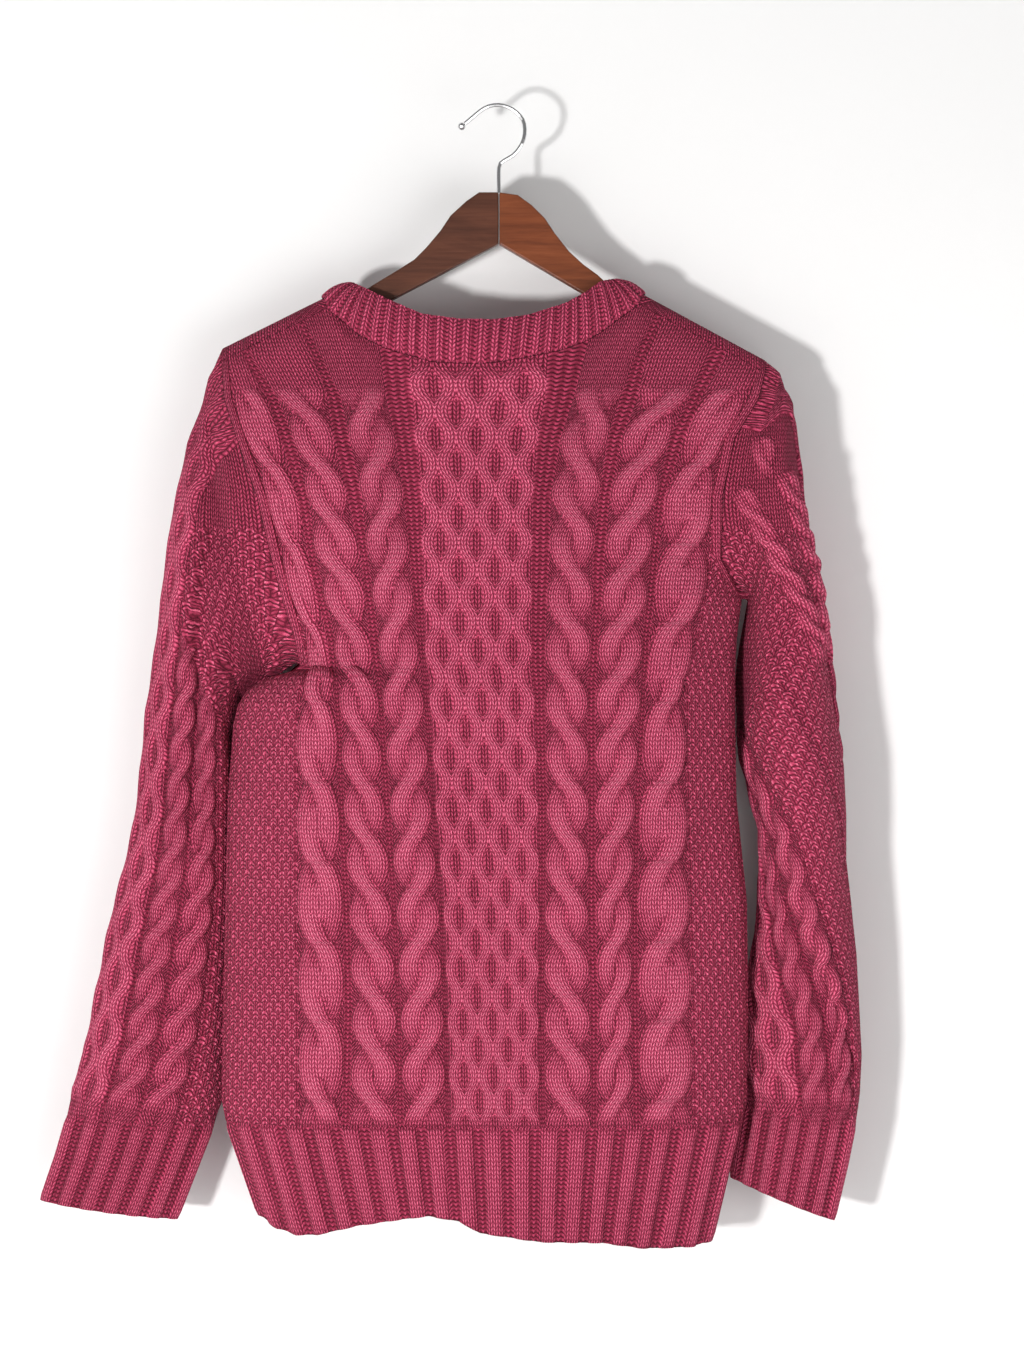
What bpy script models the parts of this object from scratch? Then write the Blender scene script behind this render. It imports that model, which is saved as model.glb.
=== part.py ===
"""Cable-knit sweater hung on a flat wooden hanger with a wire hook.

Frame: metres, +Z up, front towards -Y, origin at the inner top of the hook.
Every table below is in millimetres from that origin and is scaled once, when a mesh is made.
Each knitted piece is one wall: a patterned outer skin over a plain inner skin, joined at its rims.
"""
import math

import bpy
import bmesh
import numpy as np

MM = 0.001

# Cloth, in millimetres
WALL = 3.2                 # thickness of the plain cloth
SEAM = 0.5                 # gap left between two pieces at a seam
NECK_SEAM = 0.9            # gap below the collar, whose ribs cross the panels' own columns
ROLL = 11.0                # radius of the cloth over the hanger's arm
ROPE_RISE = 5.2            # height of a cable strand over the ground
COMB_RISE = 4.4            # height of a honeycomb strand
MOSS_RISE = 1.0            # height of the moss ground over a purl channel
RIB_RISE = 2.2             # height of a hem or cuff rib
COLLAR_RISE = 1.6          # height of a collar rib

# Knitting rows of the body: half a small cable for each mesh row
BODY_ROWS = 28
ARC_ROWS = 4
NECK_ROWS = 6              # rows below the top edge whose inner side is as fine as the neckline
SMALL_PERIOD = 2
WIDE_PERIOD = 3
HEM_RIBS = 20
HEM_ROWS = 3
CUFF_RIBS = 13
COLLAR_RIBS = 56
SLEEVE_ROWS = 28

# Edges of the bands of the front, from the wearer's right side seam to the left one
BAND_NAMES = ("side", "wide0", "wide1", "mid0", "mid1", "small0", "small1", "comb0",
              "comb1", "small2", "small3", "mid2", "mid3", "wide2", "wide3", "side2")
# A row for each height: z, then the x of every edge above
BAND_ROWS = (
    (-900, -200, -151, -119, -113, -76, -71, -39, -34, 33, 37, 72, 76, 104, 110, 150, 180),
    (-800, -208, -151, -119, -113, -76, -71, -39, -34, 33, 37, 72, 76, 104, 110, 150, 188),
    (-771, -214, -151, -118, -112, -76, -71, -39, -35, 32, 37, 72, 76, 104, 109, 150, 194),
    (-694, -213, -151, -116, -110, -76, -73, -41, -37, 31, 36, 71, 77, 103, 108, 149, 195),
    (-616, -211, -152, -117, -112, -80, -76, -44, -40, 32, 37, 69, 75, 103, 107, 147, 194),
    (-538, -209, -152, -120, -116, -86, -81, -50, -46, 31, 38, 70, 75, 105, 109, 145, 186),
    (-480, -205, -152, -122, -118, -89, -85, -54, -49, 29, 37, 69, 75, 108, 112, 144, 185),
    (-464, -201, -150, -123, -119, -90, -86, -55, -50, 28, 37, 69, 75, 109, 113, 144, 185),
    (-453, -194, -149, -124, -120, -91, -87, -56, -51, 28, 37, 69, 75, 110, 113, 144, 185),
    (-444, -180, -146, -124, -120, -91, -87, -56, -51, 27, 37, 69, 75, 110, 113, 143, 185),
    (-437, -151, -143, -127, -122, -94, -88, -58, -53, 26, 37, 70, 76, 110, 115, 146, 185),
    (-414, -156, -147, -130, -124, -97, -90, -60, -54, 26, 37, 72, 77, 111, 116, 152, 186),
    (-383, -165, -157, -137, -131, -100, -94, -63, -55, 26, 38, 73, 80, 114, 120, 158, 190),
    (-352, -173, -165, -144, -138, -103, -98, -66, -56, 26, 40, 73, 82, 117, 123, 163, 173),
    (-305, -184, -176, -152, -144, -114, -103, -71, -57, 27, 41, 78, 86, 122, 128, 165, 173),
    (-259, -200, -193, -166, -156, -125, -113, -78, -62, 31, 49, 85, 96, 132, 144, 175, 183),
    (-228, -210, -204, -177, -169, -130, -120, -85, -65, 37, 59, 95, 108, 148, 157, 194, 202),
    (-197, -213, -208, -195, -189, -141, -135, -89, -68, 39, 67, 106, 114, 162, 175, 205, 210),
    (-150, -214, -212, -203, -198, -164, -158, -96, -80, 50, 78, 128, 134, 185, 190, 206, 210),
)
# Depth of the body in front of and behind the hanger's plane: z, front, back
DEPTH_ROWS = (
    (-900, 44, 14), (-789, 50, 18), (-616, 58, 22), (-461, 60, 24),
    (-352, 55, 23), (-259, 44, 19), (-180, 34, 14),
)
ARMHOLE_FRONT = 33.0       # depth of the armhole's edge in front
ARMHOLE_BACK = 15.0
ARMHOLE_EASE = 32.0        # height over the underarm in which it opens
TOP_EASE = 160.0           # length in which the body fills out below its top edge
NECK_DEPTH = 19.0          # how far the neckline's middle stands in front of its ends
UNDERARM = {"left": -437.0, "right": -383.0}
# Height of the row below the underarm, where the body has its full width again
LEDGE = {"left": -444.0, "right": -406.0}

HEM_TOP = -786.0
HEM_JOIN = -796.0
HEM_SIDES = (-209.0, 189.0)     # side edges at the top of the ribs
HEM_PULL = (24.0, 19.0)         # how far the ribs draw the sides in, over HEM_PULL_LENGTH
HEM_PULL_LENGTH = 70.0
HEM_DEPTH = 45.0                # depth of the section by which the ribs are spaced
# Lower edge of the hem: x, z
HEM_EDGE = ((-186, -857), (-169, -867), (-153, -871), (-137, -870), (-106, -862), (-75, -857), (-52, -854),
            (-29, -858), (-13, -867), (33, -874), (80, -875), (111, -880), (150, -881), (168, -878))

# Shoulder lines of the outline: z at x = 0 and fall for each millimetre
SHOULDER = {"left": (-81.2, 0.5), "right": (-84.4, 0.541)}
NECK_CORNER = {"left": (-131.5, -157.95), "right": (109.5, -154.64)}
# Neck seam below the collar, x and z
NECKLINE = ((-131.5, -157.95), (-124, -164.5), (-107, -179.5), (-85, -190.5), (-50, -201), (-13, -203),
            (15, -199), (49, -192), (68, -185), (81, -177), (102, -161), (109.5, -154.64))
# Free edge of the collar, x and z
COLLAR_EDGE = ((-111, -137.5), (-85, -151), (-58, -163), (-30, -167), (-2, -167.5), (24, -164),
               (53, -154.5), (68, -146), (80, -137), (89, -134.8))
COLLAR_EDGE_DEPTH = 24.0
COLLAR_BACK_DEPTH = 14.0
CORNER_OUT = {"left": -148.0, "right": 128.0}   # where the neck's corner column starts on the back
BACK_NECK_DROP = 3.0

# Sleeves, a row for each ring from the shoulder to the cuff:
# outer x, outer z, inner x, inner z, depth in front, depth behind, middle's y at the outer and inner line
LEFT_RINGS = (
    (-222.5, -210, -156, -432, 34, 22, 0, 0),
    (-227, -229, -165, -437, 36, 24, 0, 9), (-232, -243, -178, -447, 40, 25, 0, 21),
    (-238, -262, -191, -457, 44, 26, 0, 23), (-243, -290, -198, -465, 46, 27, 0, 26),
    (-249, -321, -201, -481, 46, 27, 0, 28), (-254, -356, -204, -498, 44, 26, 0, 28),
    (-258, -391, -203, -520, 41, 25, 0, 29), (-263, -429, -202, -543, 37, 23, 0, 29),
    (-269, -468, -201, -568, 33, 22, 0, 30), (-273, -511, -200, -594, 31, 20, 0, 30),
    (-278, -554, -199, -621, 30, 19, 0, 31), (-287, -593, -199, -648, 29, 18, 0, 31),
    (-297, -631, -200, -676, 29, 18, 0, 31), (-304, -666, -202, -703, 29, 18, 0, 30),
    (-311, -701, -206, -730, 28, 18, 0, 28), (-318, -736, -212, -758, 27, 18, 0, 24),
    (-330, -771, -219, -784, 25, 18, 0, 20),
)
RIGHT_RINGS = (
    (218, -207, 193, -382, 34, 22, 0, 0),
    (222, -218, 195, -384, 36, 24, 0, 5), (228, -231, 194, -394, 40, 26, 0, 13),
    (230, -251, 191, -411, 43, 28, 0, 20), (234, -286, 188, -431, 45, 30, 0, 24),
    (240, -325, 187, -452, 46, 30, 0, 26), (249, -360, 188, -476, 46, 30, 0, 25),
    (254, -395, 191, -501, 46, 31, 0, 20), (257, -429, 198, -527, 45, 32, 0, 13),
    (261, -468, 205, -554, 44, 33, 0, 9), (268, -511, 208, -581, 43, 32, 0, 8),
    (270, -550, 207, -608, 42, 31, 0, 12), (270, -585, 206, -635, 41, 30, 0, 16),
    (274, -620, 202, -662, 40, 28, 0, 21), (278, -659, 196, -687, 39, 26, 0, 26),
    (280, -697, 193, -714, 37, 24, 0, 29), (282, -736, 192, -742, 33, 22, 0, 29),
    (280, -777, 193, -770, 29, 20, 0, 26),
)
# Cuffs, a row for each ring: outer x and z, inner x and z, depth in front and behind, middle's y
LEFT_CUFF = ((-333, -783, -222, -793, 21, 16, 2, 18), (-342, -814, -234, -824, 19, 15, 2, 16),
             (-354, -849, -250, -865, 19, 15, 2, 14))
RIGHT_CUFF = ((278, -787, 192, -779, 24, 18, 0, 22), (271, -822, 188, -802, 21, 16, 0, 18),
              (261, -864, 183, -833, 21, 16, 0, 14))
SLEEVE_FULLNESS = 1.3      # exponent of a ring's section: 1 is an ellipse
# Folds of the sleeves: ring and place round it at the start and end, depth, width on the sharp and the soft side
LEFT_FOLDS = ((1.0, 0.29, 10.5, 0.235, 9.0, 0.035, 0.055),)
RIGHT_FOLDS = ((9.3, 0.04, 16.7, 0.44, 9.0, 0.03, 0.085),)
# How far the knitted bands are turned round a sleeve: ring number, share of the way round
LEFT_TWIST = ((0, 0.0), (17, 0.0))
RIGHT_TWIST = ((0, 0.0), (2, -0.08), (5.3, -0.2), (8.5, -0.29), (11, -0.4), (15, -0.56), (17, -0.58))
# Bands round a sleeve: kind, start and end as shares of the way round from the underarm
SLEEVE_BANDS = (
    ("moss", 0.0, 0.165), ("rope", 0.17, 0.25), ("rope", 0.26, 0.33), ("comb", 0.34, 0.66),
    ("rope", 0.67, 0.74), ("rope", 0.75, 0.83), ("moss", 0.835, 1.0),
)

# Hanger
ARM_THICK = 12.0
WIRE_RADIUS = 1.6
HANGER_TOP = {
    "left": ((1.2, -67), (-14, -67), (-24, -74), (-36, -85), (-44, -97), (-55, -110), (-64, -119),
             (-75, -126), (-104, -143.5), (-118, -154), (-142, -164.5), (-200, -189)),
    "right": ((1.8, -67), (16, -69), (27, -77), (37, -87), (45, -99), (56, -113), (67, -123),
              (78, -131), (89, -141.5), (99, -151.5), (127, -165.5), (198, -199.5)),
}
HANGER_TIP = {"left": ((-205, -192.5), (-210.5, -198.5), (-212.5, -206), (-209, -213)),
              "right": ((201, -202), (206.5, -208), (208.5, -215), (204.5, -221.5))}
HANGER_LOW = {"left": ((-83, -151), (1.2, -107)), "right": ((68, -146), (1.8, -107))}
HOOK_PATH = ((1.5, -66.6), (1.5, -47), (5, -42), (13, -37), (19, -29), (21.5, -20), (20, -10), (13, -2.5),
             (6, 0.8), (0, 1.6), (-7, 0.4), (-13, -3), (-19, -8), (-25, -13))
BALL_RADIUS = 3.0
HOOK_POINTS = 32


def as_rows(rows):
    return np.array(rows, dtype=float)


def at(rows, column, value):
    """Linear reading of one column of a table whose first column is the key."""
    table = as_rows(rows)
    order = np.argsort(table[:, 0])
    return np.interp(value, table[order, 0], table[order, column])


def unit(vectors):
    length = np.linalg.norm(vectors, axis=-1, keepdims=True)
    return vectors / np.maximum(length, 1e-9)


def shoulder_z(x):
    left = SHOULDER["left"][0] + SHOULDER["left"][1] * x
    right = SHOULDER["right"][0] - SHOULDER["right"][1] * x
    return np.where(x < 0, left, right)


class Wall:
    """Points and triangles of one closed wall."""

    def __init__(self):
        self.points = []
        self.faces = []

    def row(self, points):
        start = len(self.points)
        self.points.extend(np.asarray(points, dtype=float).tolist())
        return list(range(start, len(self.points)))

    def quads(self, low, high, lean, closed=False):
        """Strip between two rows of equal count; lean picks each quad's diagonal."""
        count = len(low) if closed else len(low) - 1
        for i in range(count):
            j = (i + 1) % len(low)
            if lean[i] > 0:
                self.faces += [(low[i], low[j], high[j]), (low[i], high[j], high[i])]
            else:
                self.faces += [(low[i], low[j], high[i]), (low[j], high[j], high[i])]

    def zip(self, low, high, closed=False):
        """Strip between two rows of any count, walked by their shares of length."""
        a, b = list(low), list(high)
        if closed:
            a.append(a[0])
            b.append(b[0])
        share_a, share_b = self.shares(a), self.shares(b)
        i = j = 0
        while i < len(a) - 1 or j < len(b) - 1:
            step_a = share_a[i + 1] if i < len(a) - 1 else 2.0
            step_b = share_b[j + 1] if j < len(b) - 1 else 2.0
            if step_a <= step_b:
                self.faces.append((a[i], a[i + 1], b[j]))
                i += 1
            else:
                self.faces.append((a[i], b[j + 1], b[j]))
                j += 1

    def shares(self, row):
        points = np.array([self.points[i] for i in row])
        run = np.concatenate(([0.0], np.cumsum(np.linalg.norm(np.diff(points, axis=0), axis=1))))
        return run / run[-1]

    def build(self, name, material, collection):
        mesh = bpy.data.meshes.new(name)
        mesh.from_pydata((np.array(self.points) * MM).tolist(), [], self.faces)
        bm = bmesh.new()
        bm.from_mesh(mesh)
        bmesh.ops.recalc_face_normals(bm, faces=bm.faces)
        bm.to_mesh(mesh)
        bm.free()
        mesh.shade_smooth()
        mesh.materials.append(material)
        obj = bpy.data.objects.new(name, mesh)
        collection.objects.link(obj)
        return obj


def knit_bands():
    """Columns of a body panel: band edge on either side, share between them, kind and strand number."""
    columns = []
    moss = (0.0, 0.06, 0.2, 0.5)
    for share in moss:
        columns.append(("side", "wide0", share, "moss", 0))
    for low, high, kind in (("wide0", "wide1", "wide"), ("mid0", "mid1", "mid"), ("small0", "small1", "small")):
        columns += [(low, high, i / 4, kind, i) for i in range(5)]
    columns += [("comb0", "comb1", i / 12, "comb", i) for i in range(13)]
    for low, high, kind in (("small2", "small3", "small"), ("mid2", "mid3", "mid"), ("wide2", "wide3", "wide")):
        columns += [(low, high, i / 4, kind, i) for i in range(5)]
    for share in reversed(moss):
        columns.append(("wide3", "side2", 1 - share, "moss", 0))
    return columns


# Which way the upper strand of each rope leans: 1 rises to the wearer's left
LEANS = {"small0": 1, "mid0": -1, "wide0": -1, "small2": -1, "mid2": 1, "wide2": 1}
COLUMNS = knit_bands()
COUNT = len(COLUMNS)


def rope_height(strand, row, period):
    """Two strands side by side, which climb over each other in every period-th row."""
    crossing = row % period == 0
    heights = (0, 0.5, 1.12, 0.5, 0) if crossing else (0, 1.0, 0.25, 1.0, 0)
    return heights[strand] * ROPE_RISE


def comb_height(column, row):
    """Six wavy strands: odd columns are strands, even ones the hollows between them."""
    if column % 2:
        return COMB_RISE
    if column in (0, 12):
        return 0.0
    meets = (column // 2 + row) % 2 == 0
    return COMB_RISE * (0.75 if meets else 0.08)


def comb_shift(column, row):
    """Sideways wave of a strand, as a share of the honeycomb's width."""
    if column % 2 == 0:
        return 0.0
    strand = column // 2
    return 0.02 * (1 if (strand + row) % 2 == 0 else -1)


def column_x(index, z, row):
    low, high, share, kind, strand = COLUMNS[index]
    if kind == "comb":
        share = share + comb_shift(strand, row)
    left = at(BAND_ROWS, 1 + BAND_NAMES.index(low), z)
    right = at(BAND_ROWS, 1 + BAND_NAMES.index(high), z)
    return left + share * (right - left)


def top_edge(x):
    """Height of the front panel's upper edge: shoulder seam, neckline, shoulder seam."""
    seam = shoulder_z(x) - ROLL
    neck = at(NECKLINE, 1, x)
    inside = (x > NECK_CORNER["left"][0]) & (x < NECK_CORNER["right"][0])
    return np.where(inside, neck, seam)


def body_frame():
    """x and z of every point of the panels' grid, with the columns at the neck's corners."""
    x = np.zeros((BODY_ROWS + 1, COUNT))
    z = np.zeros((BODY_ROWS + 1, COUNT))
    tops = np.zeros(COUNT)
    for j in range(COUNT):
        top = -200.0
        for _ in range(60):
            reach = column_x(j, top, BODY_ROWS)
            top = 0.5 * top + 0.5 * float(top_edge(np.array(reach)))
        tops[j] = top
    top_x = np.array([column_x(j, tops[j], BODY_ROWS) for j in range(COUNT)])
    corner_left = int(np.argmin(abs(top_x - NECK_CORNER["left"][0])))
    corner_right = int(np.argmin(abs(top_x - NECK_CORNER["right"][0])))
    for name, j in (("left", corner_left), ("right", corner_right)):
        top_x[j], tops[j] = NECK_CORNER[name]
    for j in range(COUNT):
        share = np.arange(BODY_ROWS + 1) / BODY_ROWS
        z[:, j] = HEM_TOP + (tops[j] - HEM_TOP) * share
    for side, j in (("left", 0), ("right", COUNT - 1)):
        k = int(np.argmin(abs(z[:, j] - UNDERARM[side])))
        move = UNDERARM[side] - z[k, j]
        near = np.clip(1 - abs(top_x - top_x[j]) / 60, 0, 1)
        rows = np.clip(1 - abs(np.arange(BODY_ROWS + 1) - k) / 3, 0, 1)
        z += move * rows[:, None] * near[None, :]
        z[k - 1] += (LEDGE[side] - z[k - 1, j]) * near
    for j in range(COUNT):
        for k in range(BODY_ROWS + 1):
            x[k, j] = column_x(j, z[k, j], k)
    x[-1] = top_x
    return x, z, corner_left, corner_right


def underarm_row(z, column, side):
    return int(np.argmin(abs(z[:, column] - UNDERARM[side])))


def section_share(x, z):
    """Place across the body, from -1 at one side to 1 at the other."""
    left, right = at(BAND_ROWS, 1, z), at(BAND_ROWS, 16, z)
    return np.clip((x - (left + right) / 2) / ((right - left) / 2), -1, 1)


def body_y(x, z, tops, top_depth, face):
    """Depth of the body's plain surface: a full middle that rounds off to the side seams."""
    column = 1 if face == "front" else 2
    middle = at(DEPTH_ROWS, column, z)
    w = section_share(x, z)
    opening = ARMHOLE_FRONT if face == "front" else ARMHOLE_BACK
    rise_left = opening * (1 - np.exp(-np.clip(z - UNDERARM["left"], 0, None) / ARMHOLE_EASE))
    rise_right = opening * (1 - np.exp(-np.clip(z - UNDERARM["right"], 0, None) / ARMHOLE_EASE))
    edge = rise_left + (rise_right - rise_left) * (w + 1) / 2
    flat_left = np.clip((z - UNDERARM["left"]) / ARMHOLE_EASE, 0, 1)
    flat_right = np.clip((z - UNDERARM["right"]) / ARMHOLE_EASE, 0, 1)
    power = 0.5 + 0.5 * (flat_left + (flat_right - flat_left) * (w + 1) / 2)
    full = edge + (middle - edge) * np.clip(1 - abs(w) ** 3, 0, 1) ** power
    below = np.clip((tops - z) / TOP_EASE, 0, 1)
    ease = 1 - (1 - below) ** 3
    depth = top_depth + (full - top_depth) * ease
    depth = np.maximum(depth, SEAM / 2)
    return -depth if face == "front" else depth


def grid_normals(points, outward):
    """Unit normals of a grid of points, turned to the side of the outward direction."""
    along = np.gradient(points, axis=0)
    across = np.gradient(points, axis=1)
    normal = unit(np.cross(across, along))
    flip = np.sum(normal * outward, axis=-1, keepdims=True) < 0
    return np.where(flip, -normal, normal)


def body_relief(rows):
    """Height of the pattern over the plain cloth and each quad's lean, for the main rows."""
    height = np.zeros((rows, COUNT))
    lean = np.ones((rows, COUNT))
    for j, (low, high, share, kind, strand) in enumerate(COLUMNS):
        for k in range(rows):
            row = k if k < BODY_ROWS - 1 else 1
            if kind == "small" or kind == "mid":
                height[k, j] = rope_height(strand, row, SMALL_PERIOD)
            elif kind == "wide":
                height[k, j] = rope_height(strand, row, WIDE_PERIOD)
            elif kind == "comb":
                height[k, j] = comb_height(strand, row)
            else:
                height[k, j] = MOSS_RISE if share not in (0.0, 1.0) else 0.0
        lean[:, j] = LEANS.get(low, 1)
        if kind == "comb":
            lean[:, j] = [1 if comb_shift(strand | 1, k) < 0 else -1 for k in range(rows)]
    fade = np.ones(rows)
    fade[-3:] = (0.6, 0.35, 0.0)
    return height * fade[:, None], lean


def hem_grid(face, rows):
    """Plain points of the hem, ribs evenly spaced round the section, and the rib height at each."""
    share = []
    rise = []
    for rib in range(HEM_RIBS):
        for place, high in ((0.0, 0), (0.3, 1), (0.75, 1)):
            share.append((rib + place) / HEM_RIBS)
            rise.append(high * RIB_RISE)
    share.append(1.0)
    rise.append(0.0)
    fine = np.sin(np.linspace(-math.pi / 2, math.pi / 2, 400))
    half_width = (HEM_SIDES[1] - HEM_SIDES[0]) / 2
    depth = HEM_DEPTH * np.sqrt(np.clip(1 - abs(fine) ** 3, 0, 1))
    run = np.concatenate(([0.0], np.cumsum(np.hypot(np.diff(fine * half_width), np.diff(depth)))))
    w = np.interp(np.array(share) * run[-1], run, fine)
    w[0], w[-1] = -1, 1
    points = np.zeros((rows, len(share), 3))
    for k in range(rows):
        part = k / (rows - 1)
        x0 = sum(HEM_SIDES) / 2 + w * half_width
        for _ in range(8):
            z = at(HEM_EDGE, 1, x0) * (1 - part) + HEM_JOIN * part
            pull = np.clip((HEM_JOIN - z) / HEM_PULL_LENGTH, 0, 1.3)
            left = HEM_SIDES[0] + HEM_PULL[0] * pull
            right = HEM_SIDES[1] - HEM_PULL[1] * pull
            x0 = (left + right) / 2 + w * (right - left) / 2
        middle = at(DEPTH_ROWS, 1 if face == "front" else 2, z)
        depth = np.maximum(middle * np.sqrt(np.clip(1 - abs(w) ** 3, 0, 1)), SEAM / 2)
        points[k] = np.stack([x0, -depth if face == "front" else depth, z], axis=-1)
    return points, np.array(rise)


def panel_points(face, frame):
    """Plain points and normals of a panel, hem apart; the back one rolls over the shoulders."""
    x, z, corner_left, corner_right = frame
    tops = z[-1]
    top_x = x[-1]
    neck = np.clip((top_x - NECK_CORNER["left"][0]) / (NECK_CORNER["right"][0] - NECK_CORNER["left"][0]), 0, 1)
    bow = np.sin(math.pi * neck) ** 0.7
    outward = np.array([0.0, -1.0 if face == "front" else 1.0, 0.0])
    if face == "front":
        y = body_y(x, z, tops, ROLL + NECK_DEPTH * bow, face)
        zz = z.copy()
        shoulder = (np.arange(COUNT) <= corner_left) | (np.arange(COUNT) >= corner_right)
        zz[-1] = np.where(shoulder, zz[-1] - SEAM / 2, zz[-1])
        points = np.stack([x, y, zz], axis=-1)
        normal = grid_normals(points, outward)
        normal[-1, shoulder] = (0, -1, 0)
    else:
        points, normal = back_points(x, z, corner_left, corner_right, outward)
    for side, j, sign in (("left", 0, -1), ("right", COUNT - 1, 1)):
        k = underarm_row(z, j, side)
        normal[:k + 1, j] = (sign, 0, 0)
    return points, normal


def back_points(x, z, corner_left, corner_right, outward):
    """Back panel: straight up the back, then over the hanger's arm to the front seam."""
    rows = BODY_ROWS + ARC_ROWS
    points = np.zeros((rows + 1, COUNT, 3))
    top_x = x[-1].copy()
    tops = z[-1].copy()
    inner = np.arange(COUNT)
    neck = (inner > corner_left) & (inner < corner_right)
    quarter = (inner == corner_left + 1) | (inner == corner_right - 1)
    top_x[corner_left + 1] = NECK_CORNER["left"][0] - 4
    top_x[corner_right - 1] = NECK_CORNER["right"][0] + 5
    top_x[corner_left + 2] = NECK_CORNER["left"][0] + 0.5
    top_x[corner_right - 2] = NECK_CORNER["right"][0] - 0.5
    across = (top_x - NECK_CORNER["left"][0]) / (NECK_CORNER["right"][0] - NECK_CORNER["left"][0])
    drop = BACK_NECK_DROP * np.sin(math.pi * np.clip(across, 0, 1))
    tops = np.where(neck, at(NECKLINE, 1, top_x) - drop, tops)
    start_x = top_x.copy()
    start_x[corner_left] = CORNER_OUT["left"]
    start_x[corner_right] = CORNER_OUT["right"]
    crown = shoulder_z(start_x)
    straight = neck & ~quarter
    stop = np.where(straight, tops - 24, crown - ROLL)
    stretch = (stop - HEM_TOP) / (z[-1] - HEM_TOP)
    zz = HEM_TOP + (z - HEM_TOP) * stretch[None, :]
    xx = np.array([[column_x(j, zz[k, j], k) for j in range(COUNT)] for k in range(BODY_ROWS + 1)])
    for side, j in (("left", 0), ("right", COUNT - 1)):
        k = underarm_row(z, j, side)
        zz[:, j] = z[:, j]
        xx[:, j] = x[:, j]
        zz[-1, j] = crown[j] - ROLL
    for j in range(COUNT):
        ease = np.clip((np.arange(BODY_ROWS + 1) - BODY_ROWS + 3) / 3, 0, 1)
        xx[:, j] += (start_x[j] - xx[-1, j]) * ease * (0.6 if straight[j] else 1.0)
    top_depth = np.where(neck, ROLL + 2.5, ROLL)
    y = body_y(xx, zz, np.where(straight, tops, stop)[None, :], top_depth[None, :], "back")
    points[:BODY_ROWS + 1] = np.stack([xx, y, zz], axis=-1)
    for i in range(1, ARC_ROWS + 1):
        part = i / ARC_ROWS
        angle = np.where(quarter, math.pi / 2, math.pi) * part
        arc_x = start_x + (top_x - start_x) * part ** 3
        arc = np.stack([arc_x, top_depth * np.cos(angle), shoulder_z(arc_x) - ROLL + ROLL * np.sin(angle)], axis=-1)
        flat_x = xx[-1] + (top_x - xx[-1]) * part
        flat_z = stop + (tops - stop) * part
        flat_y = body_y(flat_x, flat_z, tops, top_depth, "back")
        flat = np.stack([flat_x, flat_y, flat_z], axis=-1)
        points[BODY_ROWS + i] = np.where(straight[:, None], flat, arc)
        if i == ARC_ROWS:
            points[BODY_ROWS + i, :, 2] += np.where(neck, 0, SEAM / 2)
    normal = grid_normals(points, outward)
    for i in range(0, ARC_ROWS + 1):
        angle = np.where(quarter, math.pi / 2, math.pi) * i / ARC_ROWS
        arc_normal = np.stack([0 * angle, np.cos(angle), np.sin(angle)], axis=-1)
        normal[BODY_ROWS + i] = np.where(straight[:, None], normal[BODY_ROWS + i], arc_normal)
    normal[-1, straight] = (0, 1, 0)
    return points, normal


def inner_columns(corner_left, corner_right):
    middle = [10, corner_left, corner_left + 1, corner_left + 2, 25, corner_right - 2, corner_right - 1,
              corner_right, 41]
    return sorted(set([0, 2, 4] + middle + [COUNT - 5, COUNT - 3, COUNT - 1]))


def make_panel(name, face, frame, material, collection):
    """Front or back: ribbed hem, cabled field and plain lining side in one wall."""
    points, normal = panel_points(face, frame)
    rows = len(points)
    height, lean = body_relief(BODY_ROWS + 1)
    if rows > BODY_ROWS + 1:
        height = np.vstack([height, np.zeros((rows - BODY_ROWS - 1, COUNT))])
        lean = np.vstack([lean, np.ones((rows - BODY_ROWS - 1, COUNT))])
        lean[BODY_ROWS:, (frame[2] + frame[3]) // 2:] = -1
        height[BODY_ROWS - 3:BODY_ROWS] *= 0.8
    for j in (0, COUNT - 1):
        height[:, j] = 0
    hem, rise = hem_grid(face, HEM_ROWS)
    hem_normal = grid_normals(hem, np.array([0.0, -1.0 if face == "front" else 1.0, 0.0]))
    hem_normal[:, 0] = (-1, 0, 0)
    hem_normal[:, -1] = (1, 0, 0)
    hem_rise = np.outer((0.8, 1, 0.7), rise)
    wall = Wall()
    hem_rows = [wall.row(hem[k] + hem_normal[k] * hem_rise[k][:, None]) for k in range(HEM_ROWS)]
    main_rows = [wall.row(points[k] + normal[k] * height[k][:, None]) for k in range(rows)]
    for k in range(HEM_ROWS - 1):
        wall.quads(hem_rows[k], hem_rows[k + 1], np.ones(len(hem_rows[k])))
    wall.zip(hem_rows[-1], main_rows[0])
    for k in range(rows - 1):
        wall.quads(main_rows[k], main_rows[k + 1], lean[k])
    pick = inner_columns(frame[2], frame[3])
    hem_pick = [0, 3, 6, 12, 18, 24, 30, 36, 42, 48, 54, 57, 60]
    inside = [wall.row((hem[k] - hem_normal[k] * WALL)[hem_pick]) for k in range(HEM_ROWS)]
    step = 2 if face == "front" else 1
    near_neck = sorted(set(pick) | set(range(frame[2], frame[3] + 1, step)))
    for k in range(rows - 1):
        inside.append(wall.row((points[k] - normal[k] * WALL)[pick if k < rows - NECK_ROWS else near_neck]))
    inside.append(wall.row(points[-1] - normal[-1] * WALL))
    for k in range(len(inside) - 1):
        wall.zip(inside[k + 1], inside[k])
    wall.zip(inside[0], hem_rows[0])
    wall.zip(main_rows[-1], inside[-1])
    outer = hem_rows + main_rows
    for end in (0, -1):
        wall.zip([row[end] for row in outer], [row[end] for row in inside])
    wall.build(name, material, collection)
    return points, normal


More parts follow.
